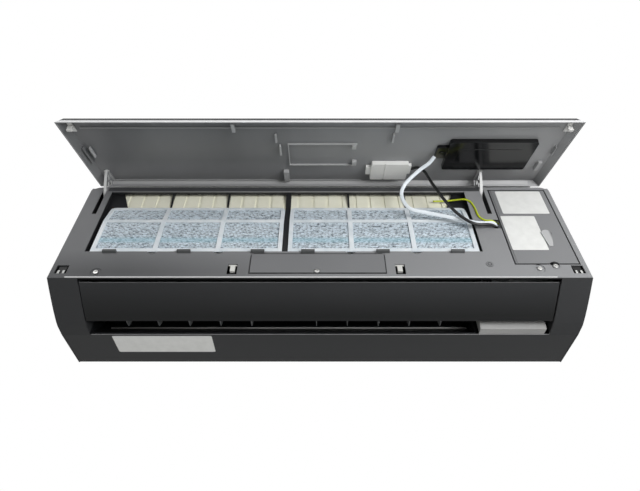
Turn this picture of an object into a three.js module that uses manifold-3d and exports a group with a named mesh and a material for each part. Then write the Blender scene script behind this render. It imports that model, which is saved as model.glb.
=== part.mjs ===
// Wall-mounted indoor unit of a split air conditioner, front panel swung open.
// Millimetres. +X to the unit's right as seen from the room, +Y to the wall, +Z up.
// The origin is the centre of the wall plate's back face.
import * as THREE from 'three';
import { mergeVertices } from 'three/addons/utils/BufferGeometryUtils.js';
import { ConvexGeometry } from 'three/addons/geometries/ConvexGeometry.js';
import Module from 'manifold-3d';

const wasm = await Module();
wasm.setup();

// ---------------------------------------------------------------- driving dimensions
const WIDTH = 1082; // over the side cheeks
const DEPTH = 234; // front face to the wall
const HEIGHT = 337;
const SKIN = 2.4; // moulded wall
const GAP = 0.4; // between pieces that sit on each other
const RUNNING = 1; // between pieces that move past each other

const PLATE_WIDTH = 760; // wall plate
const PLATE_HEIGHT = 270;
const PLATE_GAUGE = 1.6;
const PLATE_CENTRE_Z = 165; // above the unit's underside

const FACE_BOTTOM = 46.7; // lower edge of the flat front face
const BAR_BOTTOM = HEIGHT - 21; // top rail of the front face
const BAR_TOP = HEIGHT - 5;
const BAR_DEPTH = 9;
const CORNER_RADIUS = 22; // upper corners seen from the front
const LIP_Y = 127; // rear lip of the air outlet
const LOUVER_BULGE = [72, 10]; // y, z that the curved underside bends towards
const LOUVER_END = [100, 3];
const FLAP_FRONT_Y = 9;
const FLAP_REAR_Y = 88;

const AIR_LEFT = -WIDTH / 2 + 55; // air section, between the end walls
const AIR_RIGHT = WIDTH / 2 - 214;
const WINDOW_BOTTOM = 121;
const WINDOW_LEFT = AIR_LEFT - 5; // the filter window is wider than the two filters
const WINDOW_RIGHT = AIR_RIGHT + 12.5;
const MULLION = 12.5; // between the filters
const FILTER_LEFT = AIR_LEFT + 5;
const FILTER_RIGHT = AIR_RIGHT + 6.5;
const FILTER_WIDTH = (FILTER_RIGHT - FILTER_LEFT - MULLION) / 2;
const FILTER_CENTRES = [FILTER_LEFT + FILTER_WIDTH / 2, FILTER_RIGHT - FILTER_WIDTH / 2];
const FILTER_BEND_Z = HEIGHT - 121;
const FILTER_TOP = [12, HEIGHT - 65]; // y, z of the leaning top edge
const FILTER_THICK = 3;
const FILTER_BARS = 66; // rib columns either side of a filter's centre

const PIVOT = [64.6, HEIGHT - 25.3]; // y, z of the front panel's hinge line
const PANEL_OPEN = 70.8; // degrees from closed
const PANEL_RIM = 66.6; // hinge line to the panel's rim plane
const PANEL_TRAY = 13; // depth of the tray behind the rim
const PANEL_THICK = 15;
const PANEL_LENGTH = HEIGHT - 95; // free edge to the hinge-side flange
const PANEL_FLANGE = 17.7; // flange below the hinge line when closed
const PANEL_OVERHANG = 35; // skin past the flange
const PANEL_BEVEL = 13;
const ARM_LEFT_X = -WIDTH / 2 + 32;
const ARM_RIGHT_X = WIDTH / 2 - 159;
const ARM_WEB = 2.4;
const ARM_FLANGE = 6.4; // width of the rib along the arm's edges
const PIN_RADIUS = 4;

const COIL_FRONT_Y = 17;
const COIL_DEPTH = 24;
const COIL_BOTTOM = 124;
const COIL_TOP = HEIGHT - 9.5;
const FIN_GROOVES = 24;

const FAN_CENTRE = [138, HEIGHT - 171];
const FAN_RADIUS = 49;
const FAN_BLADES = 16;
const FAN_DISCS = 4;
const SHAFT_RADIUS = 4;
const MOTOR_RADIUS = 42;
const MOTOR_LENGTH = 78;

const FLAP_PIVOT = [76, 34];
const FLAP_LEFT = AIR_LEFT + 7;
const FLAP_RIGHT = WIDTH / 2 - 65;
const FLAP_THICK = 3;
const VANE_COUNT = 5; // either side of the divider
const VANE_PITCH = (AIR_RIGHT - AIR_LEFT - 15) / (2 * VANE_COUNT + 2);
const VANE_DIVIDER = (AIR_LEFT + AIR_RIGHT) / 2 + 2.2;
const DIVIDER_GAP = VANE_PITCH * 2 + 6.5; // between the vanes next to the divider
const VANE_THICK = 1.8;
const VANE_PIN = 2;

const COVER_WIDTH = 132; // electrical cover
const COVER_RIGHT = WIDTH / 2 - 12;
const COVER_LEFT = COVER_RIGHT - COVER_WIDTH;
const COVER_BOTTOM = 84;
const COVER_TOP = HEIGHT - 15;
const COVER_GROOVE = 1.2; // open line round the cover

// ---------------------------------------------------------------- solids
const solidOf = (geometry) => {
  const bare = geometry.clone();
  bare.deleteAttribute('normal');
  bare.deleteAttribute('uv');
  const merged = mergeVertices(bare, 1e-4);
  const index = merged.index ?? { array: [...merged.attributes.position.array.keys()] };
  return new wasm.Manifold(new wasm.Mesh({
    numProp: 3,
    vertProperties: new Float32Array(merged.attributes.position.array),
    triVerts: new Uint32Array(index.array),
  }));
};

const geometryOf = (solid) => {
  const mesh = solid.getMesh();
  const geometry = new THREE.BufferGeometry();
  geometry.setAttribute('position', new THREE.BufferAttribute(mesh.vertProperties, 3));
  geometry.setIndex(new THREE.BufferAttribute(mesh.triVerts, 1));
  return geometry;
};

const join = (...solids) => solids.flat(2).reduce((a, b) => a.add(b));
const cut = (body, ...tools) => tools.flat(2).reduce((a, b) => a.subtract(b), body);

const box = (x0, x1, y0, y1, z0, z1) => solidOf(
  new THREE.BoxGeometry(x1 - x0, y1 - y0, z1 - z0)
    .translate((x0 + x1) / 2, (y0 + y1) / 2, (z0 + z1) / 2),
);

// A box whose low-y face is drawn in by inX and inZ: a bevelled plate.
const bevelled = (x0, x1, y0, y1, z0, z1, inX, inZ) => {
  const corners = [];
  for (const x of [0, 1]) {
    for (const z of [0, 1]) {
      corners.push(new THREE.Vector3(x ? x1 : x0, y1, z ? z1 : z0));
      corners.push(new THREE.Vector3(x ? x1 - inX : x0 + inX, y0, z ? z1 - inZ : z0 + inZ));
    }
  }
  return solidOf(new ConvexGeometry(corners));
};

const shapeOf = (points) => new THREE.Shape(points.map(([a, b]) => new THREE.Vector2(a, b)));

// A y-z section drawn out along x.
const alongX = (shape, x0, x1, segments = 6) => {
  const turn = new THREE.Matrix4().makeBasis(
    new THREE.Vector3(0, 1, 0), new THREE.Vector3(0, 0, 1), new THREE.Vector3(1, 0, 0),
  );
  const options = { depth: x1 - x0, bevelEnabled: false, curveSegments: segments };
  return solidOf(new THREE.ExtrudeGeometry(shape, options).applyMatrix4(turn).translate(x0, 0, 0));
};

// An x-z outline drawn out along y.
const alongY = (shape, y0, y1, segments = 6) => {
  const turn = new THREE.Matrix4().makeBasis(
    new THREE.Vector3(1, 0, 0), new THREE.Vector3(0, 0, 1), new THREE.Vector3(0, -1, 0),
  );
  const options = { depth: y1 - y0, bevelEnabled: false, curveSegments: segments };
  return solidOf(new THREE.ExtrudeGeometry(shape, options).applyMatrix4(turn).translate(0, y1, 0));
};

const rodX = (x0, x1, [y, z], radius, sides = 16) => solidOf(
  new THREE.CylinderGeometry(radius, radius, x1 - x0, sides)
    .rotateZ(Math.PI / 2).translate((x0 + x1) / 2, y, z),
);

const rodY = (y0, y1, x, z, radius, sides = 16) => solidOf(
  new THREE.CylinderGeometry(radius, radius, y1 - y0, sides).translate(x, (y0 + y1) / 2, z),
);

const rodZ = (z0, z1, x, y, radius, sides = 12) => solidOf(
  new THREE.CylinderGeometry(radius, radius, z1 - z0, sides)
    .rotateX(Math.PI / 2).translate(x, y, (z0 + z1) / 2),
);

// A wall of even thickness laid to the left of a path in the section.
const wallShape = (path, thick) => {
  const offset = path.map(([y, z], i) => {
    const before = path[Math.max(i - 1, 0)];
    const after = path[Math.min(i + 1, path.length - 1)];
    const along = new THREE.Vector2(after[0] - before[0], after[1] - before[1]).normalize();
    return [y - along.y * thick, z + along.x * thick];
  });
  return shapeOf([...path, ...offset.reverse()]);
};

const roundedRect = (x0, x1, z0, z1, radius) => {
  const shape = new THREE.Shape();
  shape.moveTo(x0 + radius, z0);
  shape.lineTo(x1 - radius, z0);
  shape.absarc(x1 - radius, z0 + radius, radius, -Math.PI / 2, 0);
  shape.absarc(x1 - radius, z1 - radius, radius, 0, Math.PI / 2);
  shape.absarc(x0 + radius, z1 - radius, radius, Math.PI / 2, Math.PI);
  shape.absarc(x0 + radius, z0 + radius, radius, Math.PI, Math.PI * 1.5);
  return shape;
};

const sample = (curve, count) => curve.getPoints(count).map((p) => [p.x, p.y]);

// ---------------------------------------------------------------- scene graph
const unit = new THREE.Group();
unit.position.set(0, -DEPTH, -PLATE_CENTRE_Z);
const panel = new THREE.Group(); // closed position is zero rotation
panel.position.set(0, PIVOT[0], PIVOT[1]);
panel.rotation.x = -THREE.MathUtils.degToRad(PANEL_OPEN);
unit.add(panel);
const part = new THREE.Group();
part.add(unit);

const finish = (color, roughness, metalness = 0) => ({ color, roughness, metalness });
const CHARCOAL = finish(0x6c6d6f, 0.55);
const DARK = finish(0x2c2d30, 0.45);
const BLACK = finish(0x17181a, 0.6);
const STEEL = finish(0xb5b7ba, 0.35, 0.9);
const PALE = finish(0xd8dde2, 0.4);
const MESH = finish(0x9fb4c2, 0.8);
const GREY = finish(0xc4c4c2, 0.6);
const GOLD = finish(0xc8bf98, 0.45, 0.5);
const COPPER = finish(0xb87545, 0.35, 0.9);
const GREEN = finish(0x2f6b45, 0.5);
const WHITE = finish(0xe6e6e4, 0.5);
const EARTH = finish(0xc9cf3a, 0.5);

const add = (name, shape, look, group = unit) => {
  const mesh = new THREE.Mesh(geometryOf(shape), new THREE.MeshStandardMaterial(look));
  mesh.name = name;
  group.add(mesh);
  return mesh;
};

// ---------------------------------------------------------------- section curves
// Underside of the front: from the face's lower edge round to the flat bottom.
const louverCurve = new THREE.QuadraticBezierCurve(
  new THREE.Vector2(0, FACE_BOTTOM), new THREE.Vector2(...LOUVER_BULGE),
  new THREE.Vector2(...LOUVER_END),
);
const louverPoints = sample(louverCurve, 10);
const louverAt = (y) => {
  const next = louverPoints.findIndex(([py]) => py >= y);
  const [y0, z0] = louverPoints[next - 1];
  const [y1, z1] = louverPoints[next];
  return z0 + (z1 - z0) * (y - y0) / (y1 - y0);
};

// Scroll behind the fan and the guide down to the outlet's rear lip.
const SCROLL_TOP = THREE.MathUtils.degToRad(62);
const SCROLL_NEAR = 7; // beyond the fan at its closest
const SCROLL_FAR = 14;
const scrollPath = () => {
  const points = [];
  const steps = 8;
  for (let i = 0; i <= steps; i += 1) {
    const angle = SCROLL_TOP * (1 - i / steps);
    const radius = FAN_RADIUS + SCROLL_NEAR + (SCROLL_FAR - SCROLL_NEAR) * (i / steps);
    points.push([
      FAN_CENTRE[0] + radius * Math.cos(angle),
      FAN_CENTRE[1] + radius * Math.sin(angle),
    ]);
  }
  const [endY, endZ] = points.pop();
  const guide = new THREE.QuadraticBezierCurve(
    new THREE.Vector2(endY, endZ), new THREE.Vector2(endY + 2, 68),
    new THREE.Vector2(LIP_Y + 3, SKIN + 4),
  );
  return [...points, ...sample(guide, 8)];
};

// ---------------------------------------------------------------- wall plate
const wallPlate = () => {
  const half = PLATE_WIDTH / 2;
  const top = PLATE_CENTRE_Z + PLATE_HEIGHT / 2;
  const bottom = PLATE_CENTRE_Z - PLATE_HEIGHT / 2;
  const outline = roundedRect(-half, half, bottom, top, 12);
  const holeXs = [-300, -150, 150, 300];
  for (const x of holeXs) {
    for (const z of [bottom + 30, PLATE_CENTRE_Z, top - 30]) {
      const hole = new THREE.Path();
      hole.absarc(x, z, 3.5, 0, Math.PI * 2, true);
      outline.holes.push(hole);
    }
  }
  const sheet = alongY(outline, DEPTH - PLATE_GAUGE, DEPTH, 2);
  const hooks = [-250, 0, 250].map((x) => join(
    box(x - 22, x + 22, DEPTH - 12, DEPTH - PLATE_GAUGE + 0.1, top - 14, top - 14 + PLATE_GAUGE),
    box(x - 22, x + 22, DEPTH - 12, DEPTH - 12 + PLATE_GAUGE, top - 14, top - 4),
  ));
  const feet = [-300, 300].map((x) => box(
    x - 14, x + 14, DEPTH - 9, DEPTH - PLATE_GAUGE + 0.1, bottom + 8, bottom + 8 + PLATE_GAUGE,
  ));
  return join(sheet, hooks, feet);
};

// ---------------------------------------------------------------- rear chassis
const BACK_FRONT = DEPTH - PLATE_GAUGE - GAP - 3; // inner face of the back wall
const BACK_REAR = DEPTH - PLATE_GAUGE - GAP;
const CHASSIS_HALF = WIDTH / 2 - SKIN - GAP;
const PIPE_RECESS_TOP = 96;
const PIPE_RECESS_DEPTH = 46;
const PIPE_Y = BACK_REAR - 18;
const GAS_PIPE = { z: 60, radius: 8, nut: 14 };
const LIQUID_PIPE = { z: 28, radius: 4.8, nut: 9 };
const SADDLE_XS = [60, AIR_RIGHT + 25, AIR_RIGHT + 81];
const SADDLE_THICK = 6;

// Ribs that stand from the wall in front of the pipes and cradle both of them.
const pipeSaddles = (scroll) => {
  const low = LIQUID_PIPE.z - 12;
  const high = GAS_PIPE.z + 14;
  const behindFan = scroll.filter(([, z]) => z > low && z < high)
    .map(([y, z]) => [y + SKIN / 2, z]);
  const straight = BACK_REAR - PIPE_RECESS_DEPTH + 1.5;
  return SADDLE_XS.map((x) => {
    const foot = x < AIR_RIGHT ? behindFan : [[straight, high], [straight, low]];
    const outline = shapeOf([...foot, [PIPE_Y, low], [PIPE_Y, high]]);
    return cut(
      alongX(outline, x, x + SADDLE_THICK),
      rodX(x - 1, x + SADDLE_THICK + 1, [PIPE_Y, GAS_PIPE.z], GAS_PIPE.radius + GAP, 12),
      rodX(x - 1, x + SADDLE_THICK + 1, [PIPE_Y, LIQUID_PIPE.z], LIQUID_PIPE.radius + GAP, 12),
    );
  });
};

const rearChassis = () => {
  const scroll = scrollPath();
  const wall = alongX(wallShape(scroll, SKIN), AIR_LEFT, AIR_RIGHT);
  const back = box(-CHASSIS_HALF, CHASSIS_HALF, BACK_FRONT, BACK_REAR, PIPE_RECESS_TOP, BAR_TOP - 6);
  const recessY = BACK_REAR - PIPE_RECESS_DEPTH;
  const shelf = box(-CHASSIS_HALF, CHASSIS_HALF, recessY, BACK_REAR, PIPE_RECESS_TOP - 3, PIPE_RECESS_TOP);
  const inner = box(-CHASSIS_HALF, AIR_LEFT, recessY, recessY + 3, SKIN + GAP, PIPE_RECESS_TOP);
  const innerRight = box(AIR_RIGHT, CHASSIS_HALF, recessY, recessY + 3, SKIN + GAP, PIPE_RECESS_TOP);
  const topWeb = box(
    AIR_LEFT, AIR_RIGHT, scroll[0][0] - 1, BACK_FRONT + 1,
    REAR_SLAB_FOOT - GAP - SKIN, REAR_SLAB_FOOT - GAP,
  );
  const endOutline = shapeOf([
    [FAN_CENTRE[0] - 34, FAN_CENTRE[1] + 30], [scroll[0][0] - 18, REAR_SLAB_FOOT + 14],
    [BACK_FRONT + 1, REAR_SLAB_FOOT + 14], [BACK_FRONT + 1, PIPE_RECESS_TOP - 1],
    [recessY + 1, PIPE_RECESS_TOP - 1], [recessY + 1, 60], [LIP_Y + 10, SKIN + 2],
    [LIP_Y + 2, SKIN + 2], [FAN_CENTRE[0] - 6, 60], [FAN_CENTRE[0] - 34, 116],
  ]);
  const ends = [
    alongX(endOutline, AIR_LEFT - 3, AIR_LEFT + 0.1),
    alongX(endOutline, AIR_RIGHT - 0.1, AIR_RIGHT + 3),
  ];
  const saddle = alongX(shapeOf([
    [BACK_FRONT + 1, FAN_CENTRE[1] + 20], [FAN_CENTRE[0] + 10, FAN_CENTRE[1] - 30],
    [FAN_CENTRE[0] + 10, PIPE_RECESS_TOP - 2], [BACK_FRONT + 1, PIPE_RECESS_TOP - 2],
  ]), AIR_RIGHT + 24, AIR_RIGHT + 24 + MOTOR_LENGTH - 16);
  const lip = box(AIR_LEFT, AIR_RIGHT, LIP_Y + 2, LIP_Y + 10, SKIN + 1, SKIN + 4.6);
  const body = join(
    wall, back, shelf, inner, innerRight, topWeb, ends, saddle, lip, pipeSaddles(scroll),
  );
  const lightening = [AIR_LEFT, AIR_RIGHT].map((x) => box(
    x - 5, x + 5, BACK_FRONT - 17, BACK_FRONT - 3, PIPE_RECESS_TOP + 14, FAN_CENTRE[1] + 24,
  ));
  return cut(
    body,
    rodX(AIR_RIGHT + 4, AIR_RIGHT + MOTOR_LENGTH + 60, FAN_CENTRE, MOTOR_RADIUS + GAP, 24),
    rodX(AIR_LEFT - 10, AIR_LEFT + 5, FAN_CENTRE, 13 + GAP),
    rodX(AIR_RIGHT - 5, AIR_RIGHT + 10, FAN_CENTRE, SHAFT_RADIUS + 4),
    lightening,
    [-250, 0, 250].map((x) => box(
      x - 24, x + 24, DEPTH - 14, DEPTH, PLATE_CENTRE_Z + PLATE_HEIGHT / 2 - 17,
      PLATE_CENTRE_Z + PLATE_HEIGHT / 2 - 2,
    )),
    [-300, 300].map((x) => box(
      x - 16, x + 16, DEPTH - 14, DEPTH, PLATE_CENTRE_Z - PLATE_HEIGHT / 2 + 5,
      PLATE_CENTRE_Z - PLATE_HEIGHT / 2 + 13,
    )),
  );
};

// ---------------------------------------------------------------- front frame
const FRAME_BACK = DEPTH - 1; // the frame's cheeks end short of the wall
const TAB_XS = [-437.5, -283, -129.5, -25, 130.5, 286];
const TAB_BOTTOM = 114;
const LATCH_HOLE_XS = [-177, 162];
const LATCH_HOLE = [57, 84]; // z limits
const FINGER_SLOT_XS = FILTER_CENTRES.flatMap((x) => [x - 68.5, x + 68.5]);
const RECESS = [-143, 134, 58, 113.7]; // bed of the centre cover: x0, x1, z0, z1
const FRAME_SCREWS = [[-WIDTH / 2 + 92, 62], [WIDTH / 2 - 98, 72]];
const SCREW_RECESS = 1.3; // depth of the dished seat
const POST_END = 11.5;
const SHADE_Y = [13, 15.5]; // front and back of the shades at the window's ends
const SHADE_REACH = [6, 45, 22]; // beside the filter, above it and at the top
const RETURN_WALL = [2, 4.5]; // outside the window's edge
const PLATE_SCREW = [-6, 63];
const BUTTON_RADIUS = 7.5;
const SOCKETS = [[-WIDTH / 2 + 21, 70], [WIDTH / 2 - 21, 70]];
const COVER_SCREW = [COVER_LEFT + 80, 78.5];
const BUTTON = [COVER_LEFT - 52, 84];
const LEAD_PORT = [COVER_LEFT - 17, COVER_LEFT - 1.5, 190, 218]; // x0, x1, z0, z1
const SLOT_BOTTOM = HEIGHT - 99;
const SLOT_REAR = 90;
const ARM_SLOTS = [ARM_LEFT_X, ARM_RIGHT_X].map((x) => [x - 5, x + 5]);

const sideShape = () => shapeOf([
  ...louverPoints, [LIP_Y, 0], [FRAME_BACK, 0], [FRAME_BACK, HEIGHT - 4],
  [FRAME_BACK - 4, HEIGHT], [30, HEIGHT], [8, BAR_TOP], [2, BAR_TOP - 4], [0, BAR_TOP - 12],
]);

const frameFace = () => {
  const half = WIDTH / 2;
  const face = new THREE.Shape();
  face.moveTo(-half, FACE_BOTTOM);
  face.lineTo(half, FACE_BOTTOM);
  face.lineTo(half, BAR_TOP - CORNER_RADIUS);
  face.absarc(half - CORNER_RADIUS, BAR_TOP - CORNER_RADIUS, CORNER_RADIUS, 0, Math.PI / 2);
  face.lineTo(-half + CORNER_RADIUS, BAR_TOP);
  face.absarc(-half + CORNER_RADIUS, BAR_TOP - CORNER_RADIUS, CORNER_RADIUS, Math.PI / 2, Math.PI);
  const plate = alongY(face, 0, SKIN, 4);
  const window = box(
    WINDOW_LEFT, WINDOW_RIGHT, -1, SKIN + 1, WINDOW_BOTTOM - RUNNING, BAR_BOTTOM,
  );
  return cut(plate, window);
};

const filterRib = (x, thick, foot = FILTER_THICK + 1.4) => alongX(shapeOf([
  [foot, WINDOW_BOTTOM - 8], [COIL_FRONT_Y - 1, WINDOW_BOTTOM - 8],
  [COIL_FRONT_Y - 1, COIL_TOP + 2], [COIL_FRONT_Y - 1, HEIGHT - 5], [BAR_DEPTH - 1, BAR_TOP - 3],
  [BAR_DEPTH - 1, BAR_BOTTOM + 2], [FILTER_TOP[0] + FILTER_THICK + 0.6, FILTER_TOP[1] + 8],
  [FILTER_TOP[0] + FILTER_THICK + 0.6, FILTER_TOP[1]], [FILTER_THICK + 1.4, FILTER_BEND_Z],
  [FILTER_THICK + 1.4, WINDOW_BOTTOM - 2], [foot, WINDOW_BOTTOM - 2],
]), x - thick / 2, x + thick / 2);

// A wall that runs back from the window's edge, and a dark shade across the coil's end.
const windowEnd = (edge, inward) => {
  const [front, back] = SHADE_Y;
  const [beside, above, highest] = SHADE_REACH;
  const at = (x) => edge + inward * x;
  const foot = WINDOW_BOTTOM - 8;
  const filterTop = FILTER_TOP[1] + 3;
  const shade = alongY(shapeOf([
    [at(-3), foot], [at(beside), foot], [at(beside), filterTop],
    [at(above), filterTop], [at(highest), HEIGHT - 6], [at(-3), HEIGHT - 6],
  ]), front, back);
  const [x0, x1] = RETURN_WALL.map((x) => at(-x)).sort((a, b) => a - b);
  const wall = box(x0, x1, SKIN - 0.4, back - 0.3, foot + 2, HEIGHT - 7);
  return join(wall, shade);
};

const GRILLE_COLUMNS = 6;
const GRILLE_ROWS = 5;
const GRILLE_PITCH = 34;
const GRILLE_BAR = 5;
const topGrille = () => {
  const sheet = box(-WIDTH / 2 + 1, WIDTH / 2 - 1, 26, FRAME_BACK - 5, HEIGHT - 4, HEIGHT);
  const columnPitch = (AIR_RIGHT - AIR_LEFT) / GRILLE_COLUMNS;
  const slots = [];
  for (let i = 0; i < GRILLE_COLUMNS; i += 1) {
    for (let j = 0; j < GRILLE_ROWS; j += 1) {
      const x = AIR_LEFT + i * columnPitch;
      const y = 48 + j * GRILLE_PITCH;
      slots.push(box(
        x + 4, x + columnPitch - 4, y, y + GRILLE_PITCH - GRILLE_BAR, HEIGHT - 9, HEIGHT + 1,
      ));
    }
  }
  return cut(sheet, slots);
};

const frontFrame = () => {
  const half = WIDTH / 2;
  const side = sideShape();
  const cheeks = [
    alongX(side, -half, -half + SKIN), alongX(side, half - SKIN, half),
  ];
  const topSlope = alongX(wallShape([[28, HEIGHT - 3], [8, BAR_TOP - 3], [1, BAR_TOP - 8]], 3),
    -half + 1, half - 1);
  const bar = box(-half + 1, half - 1, 0.5, BAR_DEPTH, BAR_BOTTOM, BAR_TOP - 4);
  const bottom = box(-half + 1, half - 1, LIP_Y, FRAME_BACK - 1, 0.4, SKIN - GAP);
  const faceLip = alongX(shapeOf([
    [0.5, FACE_BOTTOM], [-2.6, FACE_BOTTOM + 0.8], [-2.6, FACE_BOTTOM + 2], [0.5, FACE_BOTTOM + 3.6],
  ]), -half + 35, FLAP_RIGHT - 6);
  const underLip = box(-half + 1, half - 1, 0.3, 8, FACE_BOTTOM + 3, FACE_BOTTOM + 3 + SKIN);
  const ribs = FILTER_CENTRES.flatMap((x) => [
    filterRib(x - FILTER_BARS, 4), filterRib(x + FILTER_BARS, 4),
  ]);
  const mullion = (FILTER_CENTRES[0] + FILTER_CENTRES[1]) / 2;
  const bridge = filterRib(mullion, MULLION - 0.5, SKIN - 0.4);
  const tabs = TAB_XS.map((x) => alongX(shapeOf([
    [0.6, TAB_BOTTOM], [-5.5, TAB_BOTTOM + 1.5], [-6.5, TAB_BOTTOM + 3],
    [-6.5, WINDOW_BOTTOM - 0.6], [SKIN - 0.4, WINDOW_BOTTOM - 0.6], [SKIN - 0.4, TAB_BOTTOM],
  ]), x - 14, x + 14));
  const sideWall = shapeOf([
    ...louverPoints.filter(([y]) => y > 10).map(([y, z]) => [y, z + 0.3]),
    [LIP_Y - 5, SKIN - 1], [LIP_Y - 5, FACE_BOTTOM + 5], [12, FACE_BOTTOM + 5],
  ]);
  const outletSides = [AIR_LEFT + 3, FLAP_RIGHT + 3].map((x) => alongX(sideWall, x, x + 2));
  const underside = wallShape([...louverPoints, [LIP_Y + 1, 0]], SKIN - 0.4);
  const endFillers = [
    alongX(underside, -half + 1, AIR_LEFT + 4), alongX(underside, FLAP_RIGHT + 4, half - 1),
  ];
  const hub = rodX(-half + 1, ARM_SLOTS[0][0] - 1, PIVOT, 10);
  const cheek = alongX(shapeOf([
    [1, SLOT_BOTTOM - 4], [SLOT_REAR, SLOT_BOTTOM + 44], [SLOT_REAR, HEIGHT - 1], [26, HEIGHT - 1],
    [1, BAR_TOP - 8],
  ]), ARM_SLOTS[1][1], ARM_SLOTS[1][1] + 4);
  const posts = FRAME_SCREWS.map(([x, z]) => rodY(SKIN - 0.5, POST_END, x, z, 7, 12));
  const body = join(
    frameFace(), cheeks, topSlope, topGrille(), bar, bottom, faceLip, underLip,
    ribs, bridge, tabs, outletSides, endFillers, hub, cheek, posts,
    windowEnd(WINDOW_LEFT, 1), windowEnd(WINDOW_RIGHT, -1),
  );
  const slots = ARM_SLOTS.map(([x0, x1]) => box(x0, x1, -4, SLOT_REAR, SLOT_BOTTOM, HEIGHT + 2));
  const screwHoles = FRAME_SCREWS.map(([x, z]) => join(
    rodY(-1, SCREW_RECESS, x, z, 11, 16), rodY(-1, POST_END + 1, x, z, 2.6, 10),
  ));
  const latchHoles = LATCH_HOLE_XS.map((x) => box(
    x - 10, x + 10, -1, SKIN + 1, LATCH_HOLE[0], LATCH_HOLE[1],
  ));
  const sockets = SOCKETS.map(([x, z]) => box(x - 12, x + 12, -1, SKIN + 1, z - 11, z + 11));
  const recess = box(RECESS[0], RECESS[1], -1, 1, RECESS[2], RECESS[3]);
  const coverBed = box(
    COVER_LEFT - COVER_GROOVE, COVER_RIGHT + COVER_GROOVE, -1, 5,
    COVER_BOTTOM - COVER_GROOVE, COVER_TOP + COVER_GROOVE,
  );
  const coverScrew = join(
    rodY(-1, SCREW_RECESS, COVER_SCREW[0], COVER_SCREW[1], 9, 16),
    rodY(-1, 6, COVER_SCREW[0], COVER_SCREW[1], 2.6, 10),
  );
  const fingerSlots = FINGER_SLOT_XS.map((x) => {
    const lens = new THREE.Shape();
    lens.moveTo(x - 15, WINDOW_BOTTOM + 1);
    lens.quadraticCurveTo(x, WINDOW_BOTTOM - 15, x + 15, WINDOW_BOTTOM + 1);
    return alongY(lens, -1, SKIN + 1, 5);
  });
  const port = box(LEAD_PORT[0], LEAD_PORT[1], -1, 5, LEAD_PORT[2], LEAD_PORT[3]);
  const pilot = rodY(-1, 8, PLATE_SCREW[0], PLATE_SCREW[1], 2.6, 10);
  const bores = [
    rodX(-half + SKIN, ARM_SLOTS[0][0], PIVOT, PIN_RADIUS + GAP),
    rodX(ARM_SLOTS[1][1] - 1, ARM_SLOTS[1][1] + 6, PIVOT, PIN_RADIUS + GAP),
    rodX(AIR_LEFT + 1, AIR_LEFT + 6, FLAP_PIVOT, 3 + GAP, 12),
    rodX(FLAP_RIGHT + 2, FLAP_RIGHT + 6, FLAP_PIVOT, 3 + GAP, 12),
  ];
  const button = rodY(-1, SKIN + 1, BUTTON[0], BUTTON[1], BUTTON_RADIUS + GAP, 20);
  return cut(
    body, slots, screwHoles, latchHoles, sockets, recess, pilot, bores, button, coverBed,
    coverScrew, fingerSlots, port,
  );
};

// ---------------------------------------------------------------- filters
const FILTER_FRONT = 1; // stands this far behind the front face
const FILTER_CORNER = 12; // radius of the upper corners
const filterShape = (thick, inset, back) => {
  const low = WINDOW_BOTTOM + inset;
  const top = FILTER_TOP[1] - inset;
  const rise = (top - FILTER_BEND_Z) / (FILTER_TOP[1] - FILTER_BEND_Z);
  const front = FILTER_FRONT + back;
  const lean = front + (FILTER_TOP[0] - FILTER_FRONT) * rise;
  return shapeOf([
    [front, low], [front + thick, low], [front + thick, FILTER_BEND_Z],
    [lean + thick, top], [lean, top], [front, FILTER_BEND_Z],
  ]);
};

const filterFrame = (x) => {
  const half = FILTER_WIDTH / 2;
  const body = alongX(filterShape(FILTER_THICK, 0, 0), x - half, x + half);
  const border = 9;
  const bar = 5;
  const columns = [-half + border, -FILTER_BARS - bar, -FILTER_BARS + bar, FILTER_BARS - bar,
    FILTER_BARS + bar, half - border];
  const panes = [];
  for (let i = 0; i < 3; i += 1) {
    const [x0, x1] = [x + columns[2 * i], x + columns[2 * i + 1]];
    panes.push(box(x0, x1, -9, 30, WINDOW_BOTTOM + border, FILTER_BEND_Z - bar));
    panes.push(box(x0, x1, -9, 30, FILTER_BEND_Z + bar, FILTER_TOP[1] - border));
  }
  const top = FILTER_TOP[1];
  const cornerCut = [-1, 1].map((side) => {
    const edge = x + side * half;
    const corner = new THREE.Shape();
    corner.moveTo(edge - side * FILTER_CORNER, top);
    corner.quadraticCurveTo(edge, top, edge, top - FILTER_CORNER);
    corner.lineTo(edge + side, top - FILTER_CORNER);
    corner.lineTo(edge + side, top + 1);
    corner.lineTo(edge - side * FILTER_CORNER, top + 1);
    return alongY(corner, -9, 30, 3);
  });
  return cut(body, panes, cornerCut, filterBed(x));
};

// The mesh sheet lies in a shallow bed in the frame's rear face.
const filterBed = (x) => alongX(
  filterShape(2, 5, FILTER_THICK - 1), x - FILTER_WIDTH / 2 + 5, x + FILTER_WIDTH / 2 - 5,
);
const filterMesh = (x) => alongX(
  filterShape(0.5, 5 + GAP, FILTER_THICK - 1 + 0.35),
  x - FILTER_WIDTH / 2 + 5 + GAP, x + FILTER_WIDTH / 2 - 5 - GAP,
);

// ---------------------------------------------------------------- evaporator coil
const COIL_LEFT = AIR_LEFT + 8;
const COIL_RIGHT = AIR_RIGHT - 8;

const finBlock = (height) => {
  const pitch = (COIL_RIGHT - COIL_LEFT) / FIN_GROOVES;
  const points = [];
  for (let i = 0; i < FIN_GROOVES; i += 1) {
    const x = COIL_LEFT + i * pitch;
    points.push([x, 0], [x + pitch * 0.8, 0], [x + pitch * 0.8, 2], [x + pitch - 0.01, 2]);
  }
  points.push([COIL_RIGHT, 2], [COIL_RIGHT, COIL_DEPTH], [COIL_LEFT, COIL_DEPTH]);
  return new THREE.ExtrudeGeometry(shapeOf(points), { depth: height, bevelEnabled: false });
};

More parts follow.
